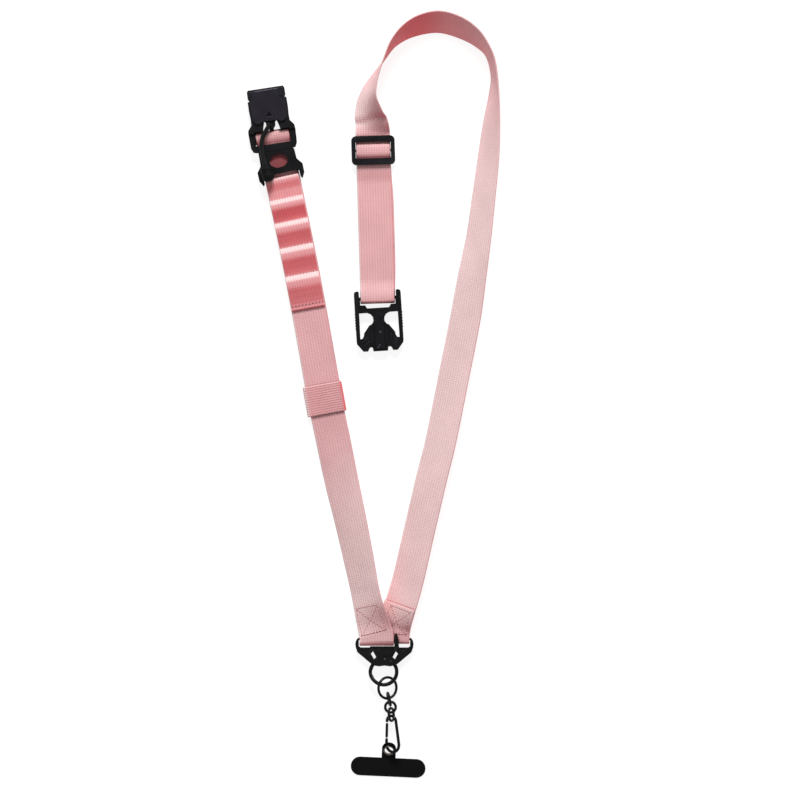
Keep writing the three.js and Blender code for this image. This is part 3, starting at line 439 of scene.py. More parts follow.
def steadyValue(keys, values, at):
    # A value read by a steady curve that never overshoots its rows
    last = len(keys) - 1
    i = next((k for k in range(last + 1) if keys[k] > at), last) - 1
    i = min(max(i, 0), last - 1)

    def slope(k):
        return (values[k + 1] - values[k]) / (keys[k + 1] - keys[k])

    def steer(k):
        if k <= 0 or k >= last or slope(k - 1) * slope(k) <= 0:
            return 0.0
        return 2 * slope(k - 1) * slope(k) / (slope(k - 1) + slope(k))
    span = keys[i + 1] - keys[i]
    u = min(max((at - keys[i]) / span, 0), 1)
    start, end = values[i], values[i + 1]
    rise = end - start
    bow = u * (1 - u) * ((1 - u) * (steer(i) * span - rise) - u * (steer(i + 1) * span - rise))
    return start + u * rise + bow


def splineAt(points, t):
    i = min(int(t), len(points) - 2)
    u = t - i
    p1, p2 = points[i], points[i + 1]
    p0 = points[i - 1] if i > 0 else p1 * 2 - p2
    p3 = points[i + 2] if i + 2 < len(points) else p2 * 2 - p1
    m1, m2 = (p2 - p0) / 2, (p3 - p1) / 2
    return p1 + m1 * u + (p2 * 3 - p1 * 3 - m1 * 2 - m2) * u ** 2 + (p1 * 2 - p2 * 2 + m1 + m2) * u ** 3


def splineWay(points, t):
    low = splineAt(points, max(t - 0.01, 0))
    high = splineAt(points, min(t + 0.01, len(points) - 1))
    return (high - low).normalized()


def restingHeight(lean):
    angle = math.radians(lean)
    return web["width"] / 2 * abs(math.sin(angle)) + half * abs(math.cos(angle))


def route(rows, step):
    # Stations along rows of east, north, lean in degrees and lift
    points = [Vector((row[0] * reach["arm"], row[1] * reach["strap"], 0)) for row in rows]
    orders = list(range(len(rows)))
    leans = [row[2] for row in rows]
    lifts = [row[3] for row in rows]
    stations = []
    for i in range(len(points) - 1):
        turn = abs(leans[i + 1] - leans[i])
        steps = max(1, round((points[i + 1] - points[i]).length / step), round(turn / 4))
        for j in range(steps + (i == len(points) - 2)):
            order = i + j / steps
            along = splineWay(points, order)
            lean = steadyValue(orders, leans, order)
            point = splineAt(points, order)
            point.z = restingHeight(lean) + steadyValue(orders, lifts, order)
            angle = math.radians(lean)
            across = Vector((along.y, -along.x, 0)).normalized() * math.cos(angle)
            across.z = math.sin(angle)
            stations.append((point, across))
    return stations


def turnDown(centre, across, away, high, low, bulge, steps=14):
    # A turn round a bar that lies across the webbing, from the top layer down to the lower one
    stations = []
    for i in range(steps + 1):
        angle = math.pi * i / steps
        point = centre + away * bulge * math.sin(angle)
        point.z = (high + low) / 2 + (high - low) / 2 * math.cos(angle)
        stations.append((point, across.copy()))
    return stations


def denser(stations, step):
    points = [point for point, across in stations]
    gaps = [max((b - a).length, 1e-3) for a, b in zip(points, points[1:])]
    dense = []
    for i, gap in enumerate(gaps):
        steps = max(1, math.ceil(gap / step))
        for j in range(steps):
            across = stations[i][1].lerp(stations[i + 1][1], j / steps)
            dense.append((hermite(points, gaps, i, j / steps), across))
    return dense + [stations[-1]]


def webFrames(stations, step=web["step"]):
    dense = denser(stations, step)
    frames = []
    for i, (point, across) in enumerate(dense):
        before = dense[max(i - 1, 0)][0]
        after = dense[min(i + 1, len(dense) - 1)][0]
        along = (after - before).normalized()
        level = (across - along * across.dot(along)).normalized()
        frames.append((point, level, level.cross(along).normalized()))
    return frames


def webSection(width, ribs):
    # Ribbed faces and softly rounded selvedges
    steps = ribs * 4
    top = []
    for i in range(steps + 1):
        s = -width / 2 + width * i / steps
        rib = abs(math.sin(math.pi * i / 4))
        top.append((s, (half - web["ribDepth"] * (1 - rib)) * easedEnd(i, steps, (0.45, 0.8, 0.95))))
    return [(s, -t) for s, t in top] + list(reversed(top))


def makeWeb(name, frames, node, material=webbing, width=web["width"], closed=False):
    section = webSection(width, weave["ribs"])
    vertices, uvs, length = [], [], 0.0
    for i, (point, across, out) in enumerate(frames):
        if i:
            length += (point - frames[i - 1][0]).length
        vertices += [point + across * s + out * t for s, t in section]
        uvs += [(s + width / 2, length) for s, t in section]
    faces = sweepFaces(len(frames), len(section), closed)
    makePiece(name, vertices, faces, material, node, uvs)
    return frames


def floorFrame(x, y, tilt):
    angle = math.radians(tilt)
    u = Vector((math.cos(angle), math.sin(angle), 0))
    v = Vector((-math.sin(angle), math.cos(angle), 0))

    def at(s, t, z):
        point = Vector((x, y, 0)) + u * s + v * t
        point.z = z
        return point
    return u, v, at


sliderU, sliderV, sliderAt = floorFrame(-0.107 * reach["arm"], 0.7965 * reach["strap"], 1.7)
insertAt = floorFrame(*sliderAt(0, -109.0, 0).to_2d(), 3.5)[2]
housingU, housingV, housingAt = floorFrame(-1.019 * reach["arm"], 0.8155 * reach["strap"], 8.7)
keeperU, keeperV, keeperAt = floorFrame(-0.55 * reach["arm"], 183.0, 10.3)

# Pull cord first: it leaves the lug, crosses the housing's lower bar and ends in its stopper.

pullCord = {
    "diameter": 3.2, "strandDepth": 0.12, "twist": 1.3, "strands": 4, "steps": 60, "sides": 24,
    "stopperLength": 11.5, "stopperDiameter": 9.2, "clearance": 0.3,
    "points": [(-83.3, 383.2, 10.0), (-86.6, 377.6, 10.2), (-89.2, 372.0, 9.4), (-89.6, 366.0, 9.3),
               (-89.0, 359.6, 10.4), (-87.0, 352.4, 11.6)],
    # shares of the stopper's radius and length, from its far end
    "stopper": [(0.01, -0.5), (0.55, -0.5), (0.68, -0.47), (0.9, -0.34), (0.98, -0.24), (1.0, -0.1),
                (0.94, -0.06), (0.94, 0.0), (1.0, 0.04), (0.94, 0.08), (0.94, 0.13), (1.0, 0.17),
                (1.0, 0.28), (0.95, 0.38), (0.8, 0.47), (0.66, 0.5), (0.48, 0.5), (0.44, 0.47),
                (0.01, 0.47)],
}


def lathe(profile, steps):
    vertices = []
    for i in range(steps):
        angle = 2 * math.pi * i / steps
        vertices += [Vector((r * math.cos(angle), r * math.sin(angle), h)) for r, h in profile]
    count = len(profile)
    faces = []
    for i in range(steps):
        here, there = i * count, ((i + 1) % steps) * count
        faces += [(here + j, there + j, there + j + 1, here + j + 1) for j in range(count - 1)]
    return vertices, faces


def makeCord():
    points = [Vector(p) for p in pullCord["points"]]
    steps, sides, twist, strands = (pullCord[key] for key in ("steps", "sides", "twist", "strands"))
    times = [i * (len(points) - 1) / steps for i in range(steps + 1)]
    path = [splineAt(points, t) for t in times]
    vertices, uvs, length = [], [], 0.0
    for i, point in enumerate(path):
        along = splineWay(points, times[i])
        across = along.cross(Vector((0, 0, 1))).normalized()
        out = across.cross(along)
        if i:
            length += (point - path[i - 1]).length
        for j in range(sides):
            angle = 2 * math.pi * j / sides
            about, travel = strands * angle, length * twist
            crossing = abs(math.sin(about + travel) * math.sin(about - travel))
            radius = pullCord["diameter"] / 2 + pullCord["strandDepth"] * (crossing - 0.5)
            vertices.append(point + across * radius * math.cos(angle) + out * radius * math.sin(angle))
            uvs.append((j / sides, length))
    faces = sweepFaces(len(path), sides, False)
    cord = makePiece("pull_cord_braid", vertices, faces, blackBraid, "pull_cord", uvs, "lug")
    along = (points[-1] - points[-2]).normalized()
    long, wide = pullCord["stopperLength"], pullCord["stopperDiameter"] / 2
    vertices, faces = lathe([(r * wide, -h * long) for r, h in pullCord["stopper"]], 40)
    turn = Vector((0, 0, 1)).rotation_difference(along).to_matrix()
    middle = path[-1] + along * (long / 2 + pullCord["clearance"])
    stopper = makePiece("cord_stopper_barrel", [turn @ v + middle for v in vertices], faces, mattNylon,
                        "cord_stopper", body="lug")
    place(path[0])
    [place(p) for p in path]


makeCord()
print("cord ready")

# Long strap, from its turned end at the plate round the top and down through the slider

longStrap = {
    "hang": 109.0, "centreBar": 1.6, "insertBar": 2.2, "overBar": 1.8, "foldRoom": 0.15, "step": 3.0,
    # shares of the strap's length that the turned end covers
    "turned": (0.037, 0.0755),
    # first share of the hanging length, stride and number of stations
    "front": (-0.115, 0.012, 90),
    "rows": [
        (0.066, 0.0165, 0, pitch), (0.067, 0.0250, 0, pitch), (0.091, 0.045, 13, pitch),
        (0.145, 0.073, 24, pitch), (0.214, 0.115, 26, 0), (0.316, 0.193, 27, 0), (0.424, 0.274, 27, 0),
        (0.510, 0.335, 28, 0), (0.620, 0.431, 28, 0), (0.728, 0.526, 29, 0), (0.792, 0.595, 36, 0),
        (0.853, 0.659, 45, 0), (0.895, 0.718, 49, 0), (0.938, 0.781, 53, 0), (0.969, 0.840, 62, 0),
        (0.990, 0.884, 74, 0), (0.991, 0.917, 81, 0), (0.945, 0.949, 80, 0), (0.832, 0.974, 68, 0),
        (0.680, 0.991, 58, 0), (0.501, 1.000, 55, 0), (0.333, 0.996, 59, 0), (0.188, 0.984, 69, 0),
        (0.072, 0.965, 81, 0), (-0.007, 0.941, 90, 0), (-0.068, 0.921, 98, 0), (-0.125, 0.899, 110, 0),
        (-0.152, 0.880, 122, 0), (-0.143, 0.858, 140, 0), (-0.118, 0.840, 157, 0),
    ],
}
loopHeight = second + longStrap["centreBar"] + web["gap"]
insertFold = second + longStrap["insertBar"] + web["gap"]
layers = {
    # share down the hanging length, then the height of the layer's middle
    "front": [(-0.115, third), (-0.058, third), (-0.024, loopHeight + pitch - 0.1), (0, loopHeight + pitch),
              (0.024, loopHeight + pitch - 0.1), (0.058, third), (0.11, third), (0.22, second),
              (0.86, second), (0.985, insertFold), (1, insertFold)],
    # share down, aside, height
    "back": [(0.96, 0.2, half), (0.8, 1.1, half), (0.55, 1.3, half), (0.3, 1.1, half), (0.12, 0.1, half),
             (0.05, 0, half), (0, 0, half)],
    "tail": [(0, 0, loopHeight), (0.016, 0, loopHeight), (0.034, 0, second + 0.5), (0.056, 0, second),
             (0.135, 0, second)],
}


def layerAt(rows):
    hang = longStrap["hang"]
    return [(sliderAt(aside, -down * hang, height), sliderU.copy()) for down, aside, height in rows]


def makeLongStrap():
    main = route(longStrap["rows"], longStrap["step"])
    turned = []
    low, high = (share * reach["strap"] for share in longStrap["turned"])
    for point, across in main:
        if low < point.y < high:
            raised = point + Vector((-across.z, 0, across.x)).normalized() * pitch
            turned.append((raised, across.copy()))
    foldTop = plate["height"] + plate["bar"] + web["gap"] + half
    east = main[0][1].copy()
    x = main[0][0].x
    overBar = (Vector((x, plate["north"] + plate["bar"] + longStrap["overBar"], foldTop)), east)
    fold = turnDown(Vector((x, plate["north"], 0)), east, Vector((0, -1, 0)), foldTop, second,
                    (foldTop - second) / 2 + longStrap["foldRoom"])
    keys = [row[0] for row in layers["front"]]
    heights = [row[1] for row in layers["front"]]
    start, stride, count = longStrap["front"]
    shares = [start + i * stride for i in range(count)]
    front = layerAt([(down, 0, steadyValue(keys, heights, down)) for down in shares])
    buckleFold = turnDown(sliderAt(0, -longStrap["hang"], 0), sliderU, -sliderV, insertFold, half,
                          (insertFold - half) / 2)
    sewnLoop = turnDown(sliderAt(0, longStrap["centreBar"] / 2, 0), sliderU, sliderV, loopHeight, half,
                        (loopHeight - half) / 2)
    stations = [*reversed(turned), overBar, *fold, *main, *front, *buckleFold, *layerAt(layers["back"]),
                *reversed(sewnLoop), *layerAt(layers["tail"])]
    return makeWeb("strap_long_web", webFrames(stations), "strap_long")


# Short strap, its turned end at the plate and both layers up to the buckle's socket half

shortStrap = {
    "rows": [(-0.0755, 0.0165, 8, 5.15), (-0.0765, 0.0240, 8, 5.15), (-0.107, 0.044, 19, 2.6),
             (-0.152, 0.073, 31, pitch), (-0.184, 0.098, 34, 0.3), (-0.237, 0.144, 29, 0),
             (-0.312, 0.206, 22, 0), (-0.394, 0.269, 12, 0.6), (-0.475, 0.338, 2, 2)],
    "turned": [(-0.0745, 0.0165, 0, 0.12), (-0.0735, 0.0240, 0, 0.1), (-0.085, 0.044, 0, 0),
               (-0.119, 0.070, 0, 0)],
    "climb": [(0, -0.55), (0.35, -0.70), (0.587, -0.8105), (0.83, -0.934), (0.955, -1.0055)],
    "keeperNorth": 183.0, "foldNorth": 2.6, "foldBar": 1.6, "foot": 0.12, "bulge": 3.5, "step": 3.0,
    # way south of the housing's bar, and drop from the fold's height
    "over": [(6.1, 1.9), (3.6, 0.7), (1.6, 0), (0, 0)],
    # stations of the climb on each layer, the back layer's shift, and the part step before the first
    "front": 60, "back": 50, "aside": 0.5, "start": 0.35,
}
shortFold = third + shortStrap["foldBar"] + web["gap"]


def climb(aside, rise, count):
    way = housingAt(0, shortStrap["foldNorth"], 0).y - shortStrap["keeperNorth"]
    points = [Vector((east * reach["arm"], shortStrap["keeperNorth"] + share * way, third))
              for share, east in shortStrap["climb"]]
    stations = []
    for i in range(count):
        t = min((i + shortStrap["start"]) / (count - 1 + shortStrap["start"]), 1) * (len(points) - 1)
        along = splineWay(points, t)
        across = Vector((along.y, -along.x, 0)).normalized()
        point = splineAt(points, t) + across * aside
        point.z += rise
        stations.append((point, across))
    return stations


def makeShortStrap():
    rows = shortStrap["rows"]
    foldTop = rows[0][3] + restingHeight(rows[0][2])
    main = route(rows, shortStrap["step"])
    fold = turnDown(Vector((main[0][0].x, plate["north"], 0)), Vector((1, 0, 0)), Vector((0, -1, 0)),
                    foldTop, half + shortStrap["foot"], shortStrap["bulge"], 16)
    fold.reverse()
    for i, (point, across) in enumerate(fold):
        lean = math.radians(rows[0][2]) * (i / (len(fold) - 1)) ** 2
        across[:] = (math.cos(lean), 0, math.sin(lean))
    turned = route(shortStrap["turned"], shortStrap["step"])
    middle = shortStrap["foldNorth"]
    overBar = [(housingAt(0, middle - south, shortFold - drop), housingU.copy())
               for south, drop in shortStrap["over"]]
    bar = turnDown(housingAt(0, middle + shortStrap["foldBar"] / 2, 0), housingU, housingV, shortFold,
                   second, (shortFold - second) / 2)
    back = climb(shortStrap["aside"], -pitch, shortStrap["back"])
    stations = [*reversed(turned), *fold, *main, *climb(0, 0, shortStrap["front"]), *overBar, *bar,
                *reversed(back)]
    return makeWeb("strap_short_web", webFrames(stations), "strap_short")


# Puffed band: it rises between rows of stitches on the front of the short strap.

band = {
    "lift": 3.4, "tuck": 0.007, "step": 1.2, "station": 0.9, "samples": 240, "seam": 11.2,
    # share of the strap's length, and how far the band puffs on the way to that row
    "rows": [(0.754, 0), (0.734, 0.3), (0.7205, 0), (0.6842, 1), (0.6444, 0.9), (0.5998, 1), (0.5512, 0.9)],
    "bumps": ((0, 0.08, 0.2, 0.36, 0.6, 0.82, 1.0), (0, 0.45, 0.95, 1, 0.62, 0.22, 0)),
}


def makeBand():
    front = climb(0, pitch, band["samples"])

    def stationAt(y):
        i = next(k for k in range(1, len(front)) if front[k][0].y > y)
        share = (y - front[i - 1][0].y) / (front[i][0].y - front[i - 1][0].y)
        return front[i - 1][0].lerp(front[i][0], share), front[i][1].copy()
    stations = []
    for (north, _), (south, puff) in zip(band["rows"], band["rows"][1:]):
        top, bottom = north * reach["strap"], south * reach["strap"]
        steps = max(6, round((top - bottom) / band["station"]))
        for j in range(steps):
            point, across = stationAt(top + (bottom - top) * j / steps)
            point.z += puff * band["lift"] * steadyValue(*band["bumps"], j / steps)
            stations.append((point, across))
    south = band["rows"][-1][0]
    stations += [stationAt(south * reach["strap"]), stationAt((south - band["tuck"]) * reach["strap"])]
    return makeWeb("loop_band_web", webFrames(stations, band["step"]), "loop_band", bandWeave)


# Keeper: a flat sleeve woven crosswise round both layers

def makeKeeper():
    corner, wide = keeper["corner"], keeper["half"]
    middle = (keeper["low"] + keeper["high"]) / 2
    tall = (keeper["high"] - keeper["low"]) / 2
    loop = []
    for quarter, (sx, sz) in enumerate(((1, 1), (-1, 1), (-1, -1), (1, -1))):
        for i in range(9):
            angle = math.pi / 2 * (quarter + i / 8)
            loop.append((sx * (wide - corner) + corner * math.cos(angle),
                         middle + sz * (tall - corner) + corner * math.sin(angle)))
    points = []
    for i, (s, z) in enumerate(loop):
        s2, z2 = loop[(i + 1) % len(loop)]
        steps = max(1, round(math.hypot(s2 - s, z2 - z) / 1.5))
        points += [(s + (s2 - s) * j / steps, z + (z2 - z) * j / steps) for j in range(steps)]
    frames = []
    for i, (s, z) in enumerate(points):
        before, after = points[i - 1], points[(i + 1) % len(points)]
        along = (keeperU * (after[0] - before[0]) + Vector((0, 0, after[1] - before[1]))).normalized()
        sag = -keeper["sag"] * math.cos(math.pi * s / wide / 2) if z > middle else 0.0
        point = keeperAt(s, 0, z + sag)
        frames.append((point, keeperV.copy(), keeperV.cross(along).normalized()))
    makeWeb("keeper_web", frames, "keeper_loop", sleeveWeave, keeper["length"], closed=True)


longFrames = makeLongStrap()
shortFrames = makeShortStrap()
bandFrames = makeBand()
makeKeeper()
print("webbing ready")

# Stitches: threads arch over the webbing between needle holes.

stitch = {
    "pitch": 2.4, "thread": 0.5, "arch": 0.16, "sink": 0.28, "end": 0.14, "thin": 0.55, "round": 0.6,
    "sides": 6, "rings": 7, "seat": 0.02, "hole": 0.95, "stretch": 1.25, "holeSides": 8,
    # share of the hole's size and rise of each ring of its rim
    "holeRings": ((1.0, 0.02), (0.75, 0.06), (0.3, 0.065)),
}


def topOf(frames, y, aside):
    # The surface point of the highest layer that crosses that height of the drawing
    best = None
    for (p, across, out), (q, across2, out2) in zip(frames, frames[1:]):
        if (p.y - y) * (q.y - y) <= 0 and p.y != q.y:
            share = (y - p.y) / (q.y - p.y)
            point = p.lerp(q, share)
            if best is None or point.z > best[0].z:
                best = (point, across.lerp(across2, share), out.lerp(out2, share).normalized())
    point, side, up = best
    if side.x < 0:
        side = -side
    if up.z < 0:
        up = -up
    return point + side * aside + up * (half - stitch["seat"]), up


def makeStitches(name, frames, lines):
    vertices, faces, kinds = [], [], []
    for (aside1, y1), (aside2, y2), share in lines:
        start, end = topOf(frames, y1, aside1)[0], topOf(frames, y2, aside2)[0]
        count = max(2, round((end - start).length / stitch["pitch"]))
        spots = [topOf(frames, y1 + (y2 - y1) * i / count, aside1 + (aside2 - aside1) * i / count)
                 for i in range(count + 1)]
        for (a, up), (b, _) in zip(spots, spots[1:]):
            along = (b - a).normalized()
            side = along.cross(up).normalized()
            base = len(vertices)
            for i in range(stitch["rings"]):
                u = i / (stitch["rings"] - 1)
                crown = math.sin(math.pi * u)
                rise = stitch["arch"] * crown ** stitch["round"] - stitch["sink"] * (1 - crown)
                point = a.lerp(b, stitch["end"] + (1 - 2 * stitch["end"]) * u) + up * rise
                radius = stitch["thread"] / 2 * (stitch["thin"] + (1 - stitch["thin"]) * crown)
                vertices += [point + side * s + up * t for s, t in roundSection(radius, stitch["sides"])]
            made = sweepFaces(stitch["rings"], stitch["sides"], False, base)
            faces += made
            kinds += [0] * len(made)
        along = (spots[1][0] - spots[0][0]).normalized()
        for a, up in spots:
            size = stitch["hole"] / 2 * share
            side = along.cross(up).normalized()
            base = len(vertices)
            for wide, rise in stitch["holeRings"]:
                vertices += [a + side * s * wide + along * t * wide + up * rise
                             for s, t in roundSection(size, stitch["holeSides"], stitch["stretch"])]
            made = sweepFaces(len(stitch["holeRings"]), stitch["holeSides"], False, base)
            faces += made
            kinds += [1] * len(made)
    piece = makePiece(name, vertices, faces, pinkThread)
    piece.data.materials.append(needleHole)
    for polygon, kind in zip(piece.data.polygons, kinds):
        polygon.material_index = kind


def boxCross(west, east, south, north):
    corners = ((west, south), (east, south), (east, north), (west, north))
    # Two corners, and the size of the needle holes between them
    sides = ((0, 1, 1.0), (1, 2, 0.4), (2, 3, 0.6), (3, 0, 0.4), (0, 2, 0.45), (1, 3, 0.65))
    return [(corners[a], corners[b], share) for a, b, share in sides]


makeStitches("short_end_stitches", shortFrames, boxCross(-10.5, 7.8, 13.2, 32.4))
makeStitches("long_end_stitches", longFrames, boxCross(-6.6, 9.8, 12.6, 31.0))
makeStitches("band_stitches", bandFrames, [
    ((-band["seam"], north * reach["strap"]), (band["seam"], north * reach["strap"]), share)
    for (north, _), share in zip(band["rows"][2:], (0.6, 0.6, 1.0, 1.0, 1.0))
])
print("stitches ready")

# Hard pieces: the modelled solids with softened edges

softened = {
    "slider_frame": (0.9, blackNylon), "buckle_insert": (0.45, blackNylon),
    "buckle_housing": (0.5, blackNylon), "buckle_cover": (0.4, greyNylon),
    "release_lug": (0.35, blackNylon), "strap_lock": (0.6, blackNylon),
    "connector_plate": (0.5, blackSteel), "phone_tab": (0.2, tabSheet),
}


def soften(name, width, material):
    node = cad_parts[name]
    node.data.materials.clear()
    node.data.materials.append(material)
    weld = node.modifiers.new("weld", "WELD")
    weld.merge_threshold = 1e-5
    bevel = node.modifiers.new("rounded edges", "BEVEL")
    bevel.width = width / 1000
    bevel.segments = 3
    bevel.limit_method = "ANGLE"
    bevel.angle_limit = math.radians(25)
    bevel.miter_outer = "MITER_ARC"


for name, (width, material) in softened.items():
    soften(name, width, material)

# Small raised marks and ridges: outline in the piece's own frame, then low and high

marks = {
    "insert_ridges": (insertAt, blackNylon, [
        ([(-5.8, -33.5), (-5.1, -33.5), (-5.1, -23.5), (-5.8, -22.5)], 6.5, 7.2),
        ([(4.5, -33.5), (5.2, -33.5), (5.2, -21.5), (4.5, -21.0)], 6.5, 7.2),
        ([(8.3, -33.5), (9.0, -33.5), (9.0, -25.0), (8.3, -24.0)], 6.5, 7.2),
        ([(-13.6, -30.9), (-13.0, -31.5), (-8.6, -27.2), (-9.1, -26.6)], 6.5, 7.1),
        ([(-12.4, -33.6), (-11.8, -34.2), (-7.4, -29.9), (-7.9, -29.3)], 6.5, 7.1),
    ]),
    # A pale dot, and a pale slanted strip that is a painted highlight.
    "insert_marks": (insertAt, paleNylon, [
        ([(-0.1, -23.8), (0.5, -24.0), (1.1, -23.7), (1.2, -23.2), (0.8, -22.7), (0.2, -22.7),
          (-0.2, -23.2)], 7.4, 7.62),
        ([(-2.4, -34.6), (-2.0, -35.0), (0.2, -32.6), (-0.1, -32.2)], 7.4, 7.62),
    ]),
    # Painted shade: a dark matt slab laid in the cover's triangular recess.
    "cover_recess_shade": (housingAt, mattNylon, [([(-2.0, 16.2), (2.0, 16.2), (0.0, 19.0)], 9.25, 9.6)]),
    "cover_lip": (housingAt, greyNylon, [
        ([(-2.8, 15.0), (2.8, 15.0), (2.4, 15.6), (-2.4, 15.6)], 10.3, 10.65),
    ]),
    # Painted highlight: a pale strip along the cover's top edge.
    "cover_edge_highlight": (housingAt, paleNylon, [
        ([(-8.6, 34.7), (8.6, 34.7), (8.4, 35.5), (-8.4, 35.5)], 10.3, 10.5),
    ]),
    "cover_knobs": (housingAt, blackNylon, [
        ([(9.2, 29.4), (12.7, 28.6), (12.9, 34.6), (12.0, 35.4), (9.6, 35.4)], 10.2, 11.0),
        ([(-12.7, 28.6), (-11.3, 29.6), (-10.6, 33.2), (-11.2, 35.4), (-12.2, 35.2), (-12.9, 33.5)],
         10.2, 11.0),
    ]),
    "plate_rivets": (lambda s, t, z: Vector((s, t, z)), dullNickel, [
        ([(-0.8, -6.4), (-0.2, -6.7), (0.4, -6.4), (0.4, -5.9), (-0.2, -5.6), (-0.8, -5.9)], 7.1, 7.35),
        ([(3.8, -7.8), (4.25, -8.0), (4.7, -7.8), (4.7, -7.4), (4.25, -7.2), (3.8, -7.4)], 7.1, 7.35),
    ]),
}


def makeMarks(name, at, material, prisms):
    vertices, faces = [], []
    for outline, low, high in prisms:
        base, count = len(vertices), len(outline)
        vertices += [at(s, t, low) for s, t in outline]
        middle = sum((Vector(point) for point in outline), Vector((0, 0))) / count
        for share, rise in ((1.0, 0.6), (0.86, 1.0)):  # a worn bevel round the top
            vertices += [at(*(middle + (Vector(point) - middle) * share), low + (high - low) * rise)
                         for point in outline]
        faces += sweepFaces(3, count, False, base)
    makePiece(name, vertices, faces, material)


for name, (at, material, prisms) in marks.items():
    makeMarks(name, at, material, prisms)
print("hard pieces ready")

# Rings, links and hook

chain = {"wire": 2.0, "roll": 36.0, "steps": 72}


def linkPlace(roll, turn, middle):
    return (Matrix.Translation(middle) @ Matrix.Rotation(math.radians(turn), 4, "Z")
            @ Matrix.Rotation(math.radians(-roll), 4, "Y"))


def makeLink(node, length, width, middle, roll, turn):
    radius = (width - chain["wire"]) / 2
    straight = (length - chain["wire"]) / 2 - radius
    points = []
    for i in range(chain["steps"]):
        angle = (i + 0.5) / chain["steps"] * 2 * math.pi
        points.append(Vector((radius * math.cos(angle),
                              radius * math.sin(angle) + math.copysign(straight, math.sin(angle)), 0)))
    matrix = linkPlace(roll, turn, middle)
    normal = (matrix.to_3x3() @ Vector((0, 0, 1))).normalized()
    makeWire(node + "_wire", [matrix @ p for p in points], chain["wire"], True, normal, node)


# Length, width, middle, roll and turn
links = {
    "round_ring": (17.3, 17.3, (1.8, -27.2, 6.2), -32, 0),
    "link_upper": (11.2, 7.8, (2.9, -35.4, 5.8), 80, 12),
    "small_ring": (9.8, 9.8, (4.0, -41.2, 5.8), 12, 0),
    "link_lower": (11.2, 7.8, (4.6, -46.6, 5.5), 90 + chain["roll"], 5),
}
for node, measures in links.items():
    makeLink(node, *measures)

splitRing = {
    "diameter": 21.5, "wire": 2.6, "middle": (-0.9, -15.6, 5.1), "tilt": 12.0, "ends": 188.0,
    "sweep": 712.0, "steps": 200, "flat": 0.62, "level": 0.64, "slope": 9.0, "taper": 60.0,
    "bulge": 0.35, "bulgeShare": 0.05,
    "section": ((-1, -0.6), (-0.7, -1), (0.7, -1), (1, -0.6), (1, 0.6), (0.7, 1), (-0.7, 1), (-1, 0.6)),
}


def makeSplitRing():
    # Two turns of flat wire side by side, with a step where the wire's ends are
    radius = (splitRing["diameter"] - splitRing["wire"]) / 2
    tilt = Matrix.Rotation(math.radians(-splitRing["tilt"]), 4, "X")
    matrix = Matrix.Translation(splitRing["middle"]) @ tilt
    count = splitRing["steps"]
    vertices = []
    section = [(s * splitRing["wire"] / 2, t * splitRing["flat"]) for s, t in splitRing["section"]]
    for i in range(count):
        share = i / (count - 1)
        angle = math.radians(splitRing["ends"] + share * splitRing["sweep"])
        level = splitRing["level"] * max(-1, min(1, (2 * share - 1) * splitRing["slope"]))
        bulge = splitRing["bulge"] * math.exp(-((share - 0.5) / splitRing["bulgeShare"]) ** 2)
        shrink = min(1, 0.6 + 0.4 * min(share, 1 - share) * splitRing["taper"])
        outward = Vector((math.cos(angle), math.sin(angle), 0))
        for s, t in section:
            local = outward * (radius + bulge + s * shrink) + Vector((0, 0, level + t * shrink))
            vertices.append(matrix @ local)
    faces = sweepFaces(count, len(section), False)
    makePiece("split_ring_coil", vertices, faces, blackSteel, "split_ring")


makeSplitRing()

hook = {
    "length": 28.5, "wire": 2.2, "foot": 5.6, "head": 4.0, "gap": 0.3,
    "gateFoot": 10.4, "gateLength": 10.8, "gateWire": 2.0,
    "middle": (5.9, -73.9, 5.75), "turn": 3.0,
}
hookTop = hook["length"] - hook["wire"]
hookMatrix = linkPlace(chain["roll"], hook["turn"], hook["middle"])
hookNormal = (hookMatrix.to_3x3() @ Vector((0, 0, 1))).normalized()


def hookPoint(side, up):
    share = (up - hook["foot"]) / (hookTop - hook["head"] - hook["foot"])
    return Vector((side * (hook["foot"] + (hook["head"] - hook["foot"]) * share), up, 0))


def arcPoints(radius, middle, start, end, steps):
    angles = [math.radians(start + (end - start) * i / steps) for i in range(steps + 1)]
    return [Vector((radius * math.cos(a), middle + radius * math.sin(a), 0)) for a in angles]


def between(a, b, steps):
    return [a.lerp(b, i / steps) for i in range(steps)]


def makeHook():
    foot = arcPoints(hook["foot"], hook["foot"], 180, 360, 30)
    head = arcPoints(hook["head"], hookTop - hook["head"], 0, 180, 24)
    start = hookPoint(-1, hook["gateFoot"] - hook["gap"])
    end = hookPoint(-1, hook["gateFoot"] + hook["gateLength"] + 2 * hook["gap"])
    points = [*between(start, foot[0], 8), *foot, *between(foot[-1], head[0], 12)[1:], *head,
              *between(head[-1], end, 4)[1:], end]
    makeWire("snap_hook_wire", [hookMatrix @ p for p in points], hook["wire"], False, hookNormal,
             "snap_hook")
    low, high = hookPoint(-1, hook["gateFoot"]), hookPoint(-1, hook["gateFoot"] + hook["gateLength"])
    gate = between(low, high, 20) + [high]
    makeWire("hook_gate_bar", [hookMatrix @ p for p in gate], hook["gateWire"], False, hookNormal,
             "hook_gate", "gate")


makeHook()

eyelet = {"hole": 6.2, "rim": 0.9, "thick": 0.8, "seat": 0.2, "flange": 0.35, "way": 6.9, "rise": 28.0}
tab = {"middle": (2.6, -78.6, 0), "turn": -2.6}


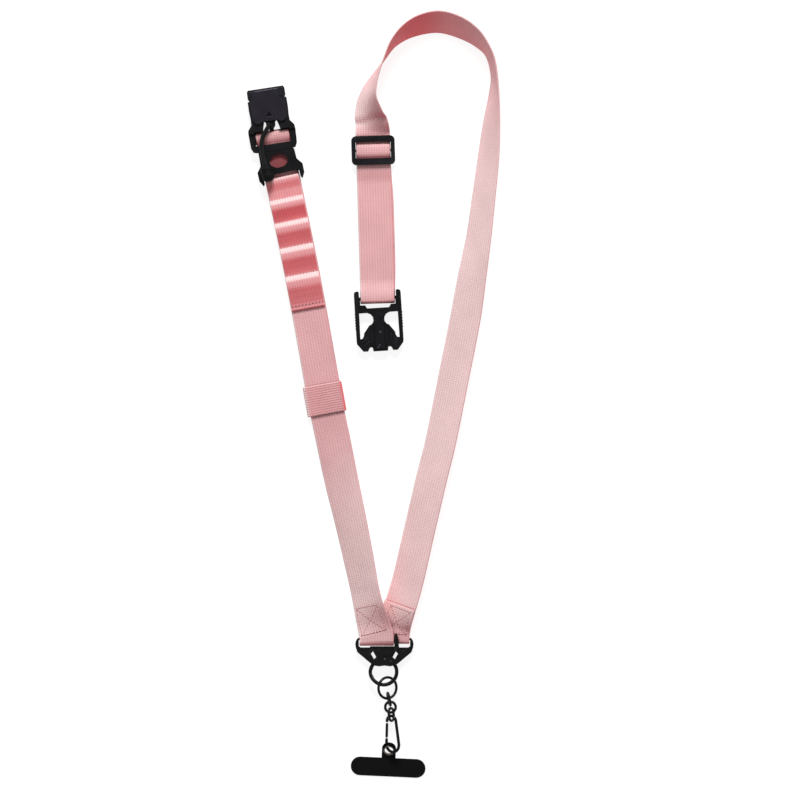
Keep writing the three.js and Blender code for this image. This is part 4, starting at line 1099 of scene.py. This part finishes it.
def makeEyelet():
    inner = eyelet["hole"] / 2
    outer = inner + eyelet["rim"]
    neck = inner + eyelet["rim"] * 0.6 - eyelet["seat"]
    low = -eyelet["seat"] - eyelet["flange"]
    top = eyelet["thick"] - low
    mid = eyelet["flange"] * 0.5
    # One rolled flange: radius, and height from its outer face
    flange = [(inner, mid), (inner + 0.12, 0.08), (inner + 0.35, 0), (outer - 0.15, 0.06), (outer, mid),
              (outer - 0.1, eyelet["flange"]), (neck, eyelet["flange"])]
    profile = [(r, low + h) for r, h in flange] + [(r, top - h) for r, h in reversed(flange)]
    profile.append(profile[0])
    vertices, faces = lathe(profile, 56)
    rise = math.radians(eyelet["rise"])
    matrix = (Matrix.Translation(tab["middle"]) @ Matrix.Rotation(math.radians(tab["turn"]), 4, "Z")
              @ Matrix.Translation((0, eyelet["way"] * math.cos(rise), eyelet["way"] * math.sin(rise)))
              @ Matrix.Rotation(rise, 4, "X"))
    makePiece("tab_eyelet_rolled", [matrix @ v for v in vertices], faces, dullNickel,
              "tab_eyelet")


makeEyelet()
print("chain ready")

# Floor and light

studio = {
    "floor": "#8C8C8B", "glow": 0.86, "world": 0.32, "floorHalf": 4.0,
    # name, place, size and power
    "lamps": (("key light", (0.1, 1.7, 1.35), 0.7, 42.0), ("fill light", (-0.5, -0.6, 1.6), 1.6, 1.5)),
}


def makeStudio():
    low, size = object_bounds()[0].z, studio["floorHalf"]
    mesh = bpy.data.meshes.new("floor")
    corners = [(-size, -size, low), (size, -size, low), (size, size, low), (-size, size, low)]
    mesh.from_pydata(corners, [], [(0, 1, 2, 3)])
    material = newMaterial("painted_paper_floor", {
        "Base Color": toLinear(studio["floor"]), "Roughness": 0.9, "Specular IOR Level": 0.1,
        "Emission Color": (1.0, 1.0, 1.0, 1.0), "Emission Strength": studio["glow"],
    })[0]
    mesh.materials.append(material)
    addObject("floor", mesh)
    for name, spot, wide, power in studio["lamps"]:
        data = bpy.data.lights.new(name, "AREA")
        data.size = wide
        data.energy = power
        lamp = addObject(name, data)
        lamp.location = spot
        lamp.rotation_euler = (-Vector(spot)).to_track_quat("-Z", "Y").to_euler()
    world = bpy.data.worlds.new("studio")
    world.use_nodes = True
    glow = world.node_tree.nodes["Background"]
    glow.inputs["Color"].default_value = (1.0, 1.0, 1.0, 1.0)
    glow.inputs["Strength"].default_value = studio["world"]
    bpy.context.scene.world = world
    bpy.context.scene.view_settings.view_transform = "Standard"


makeStudio()
print("studio ready")
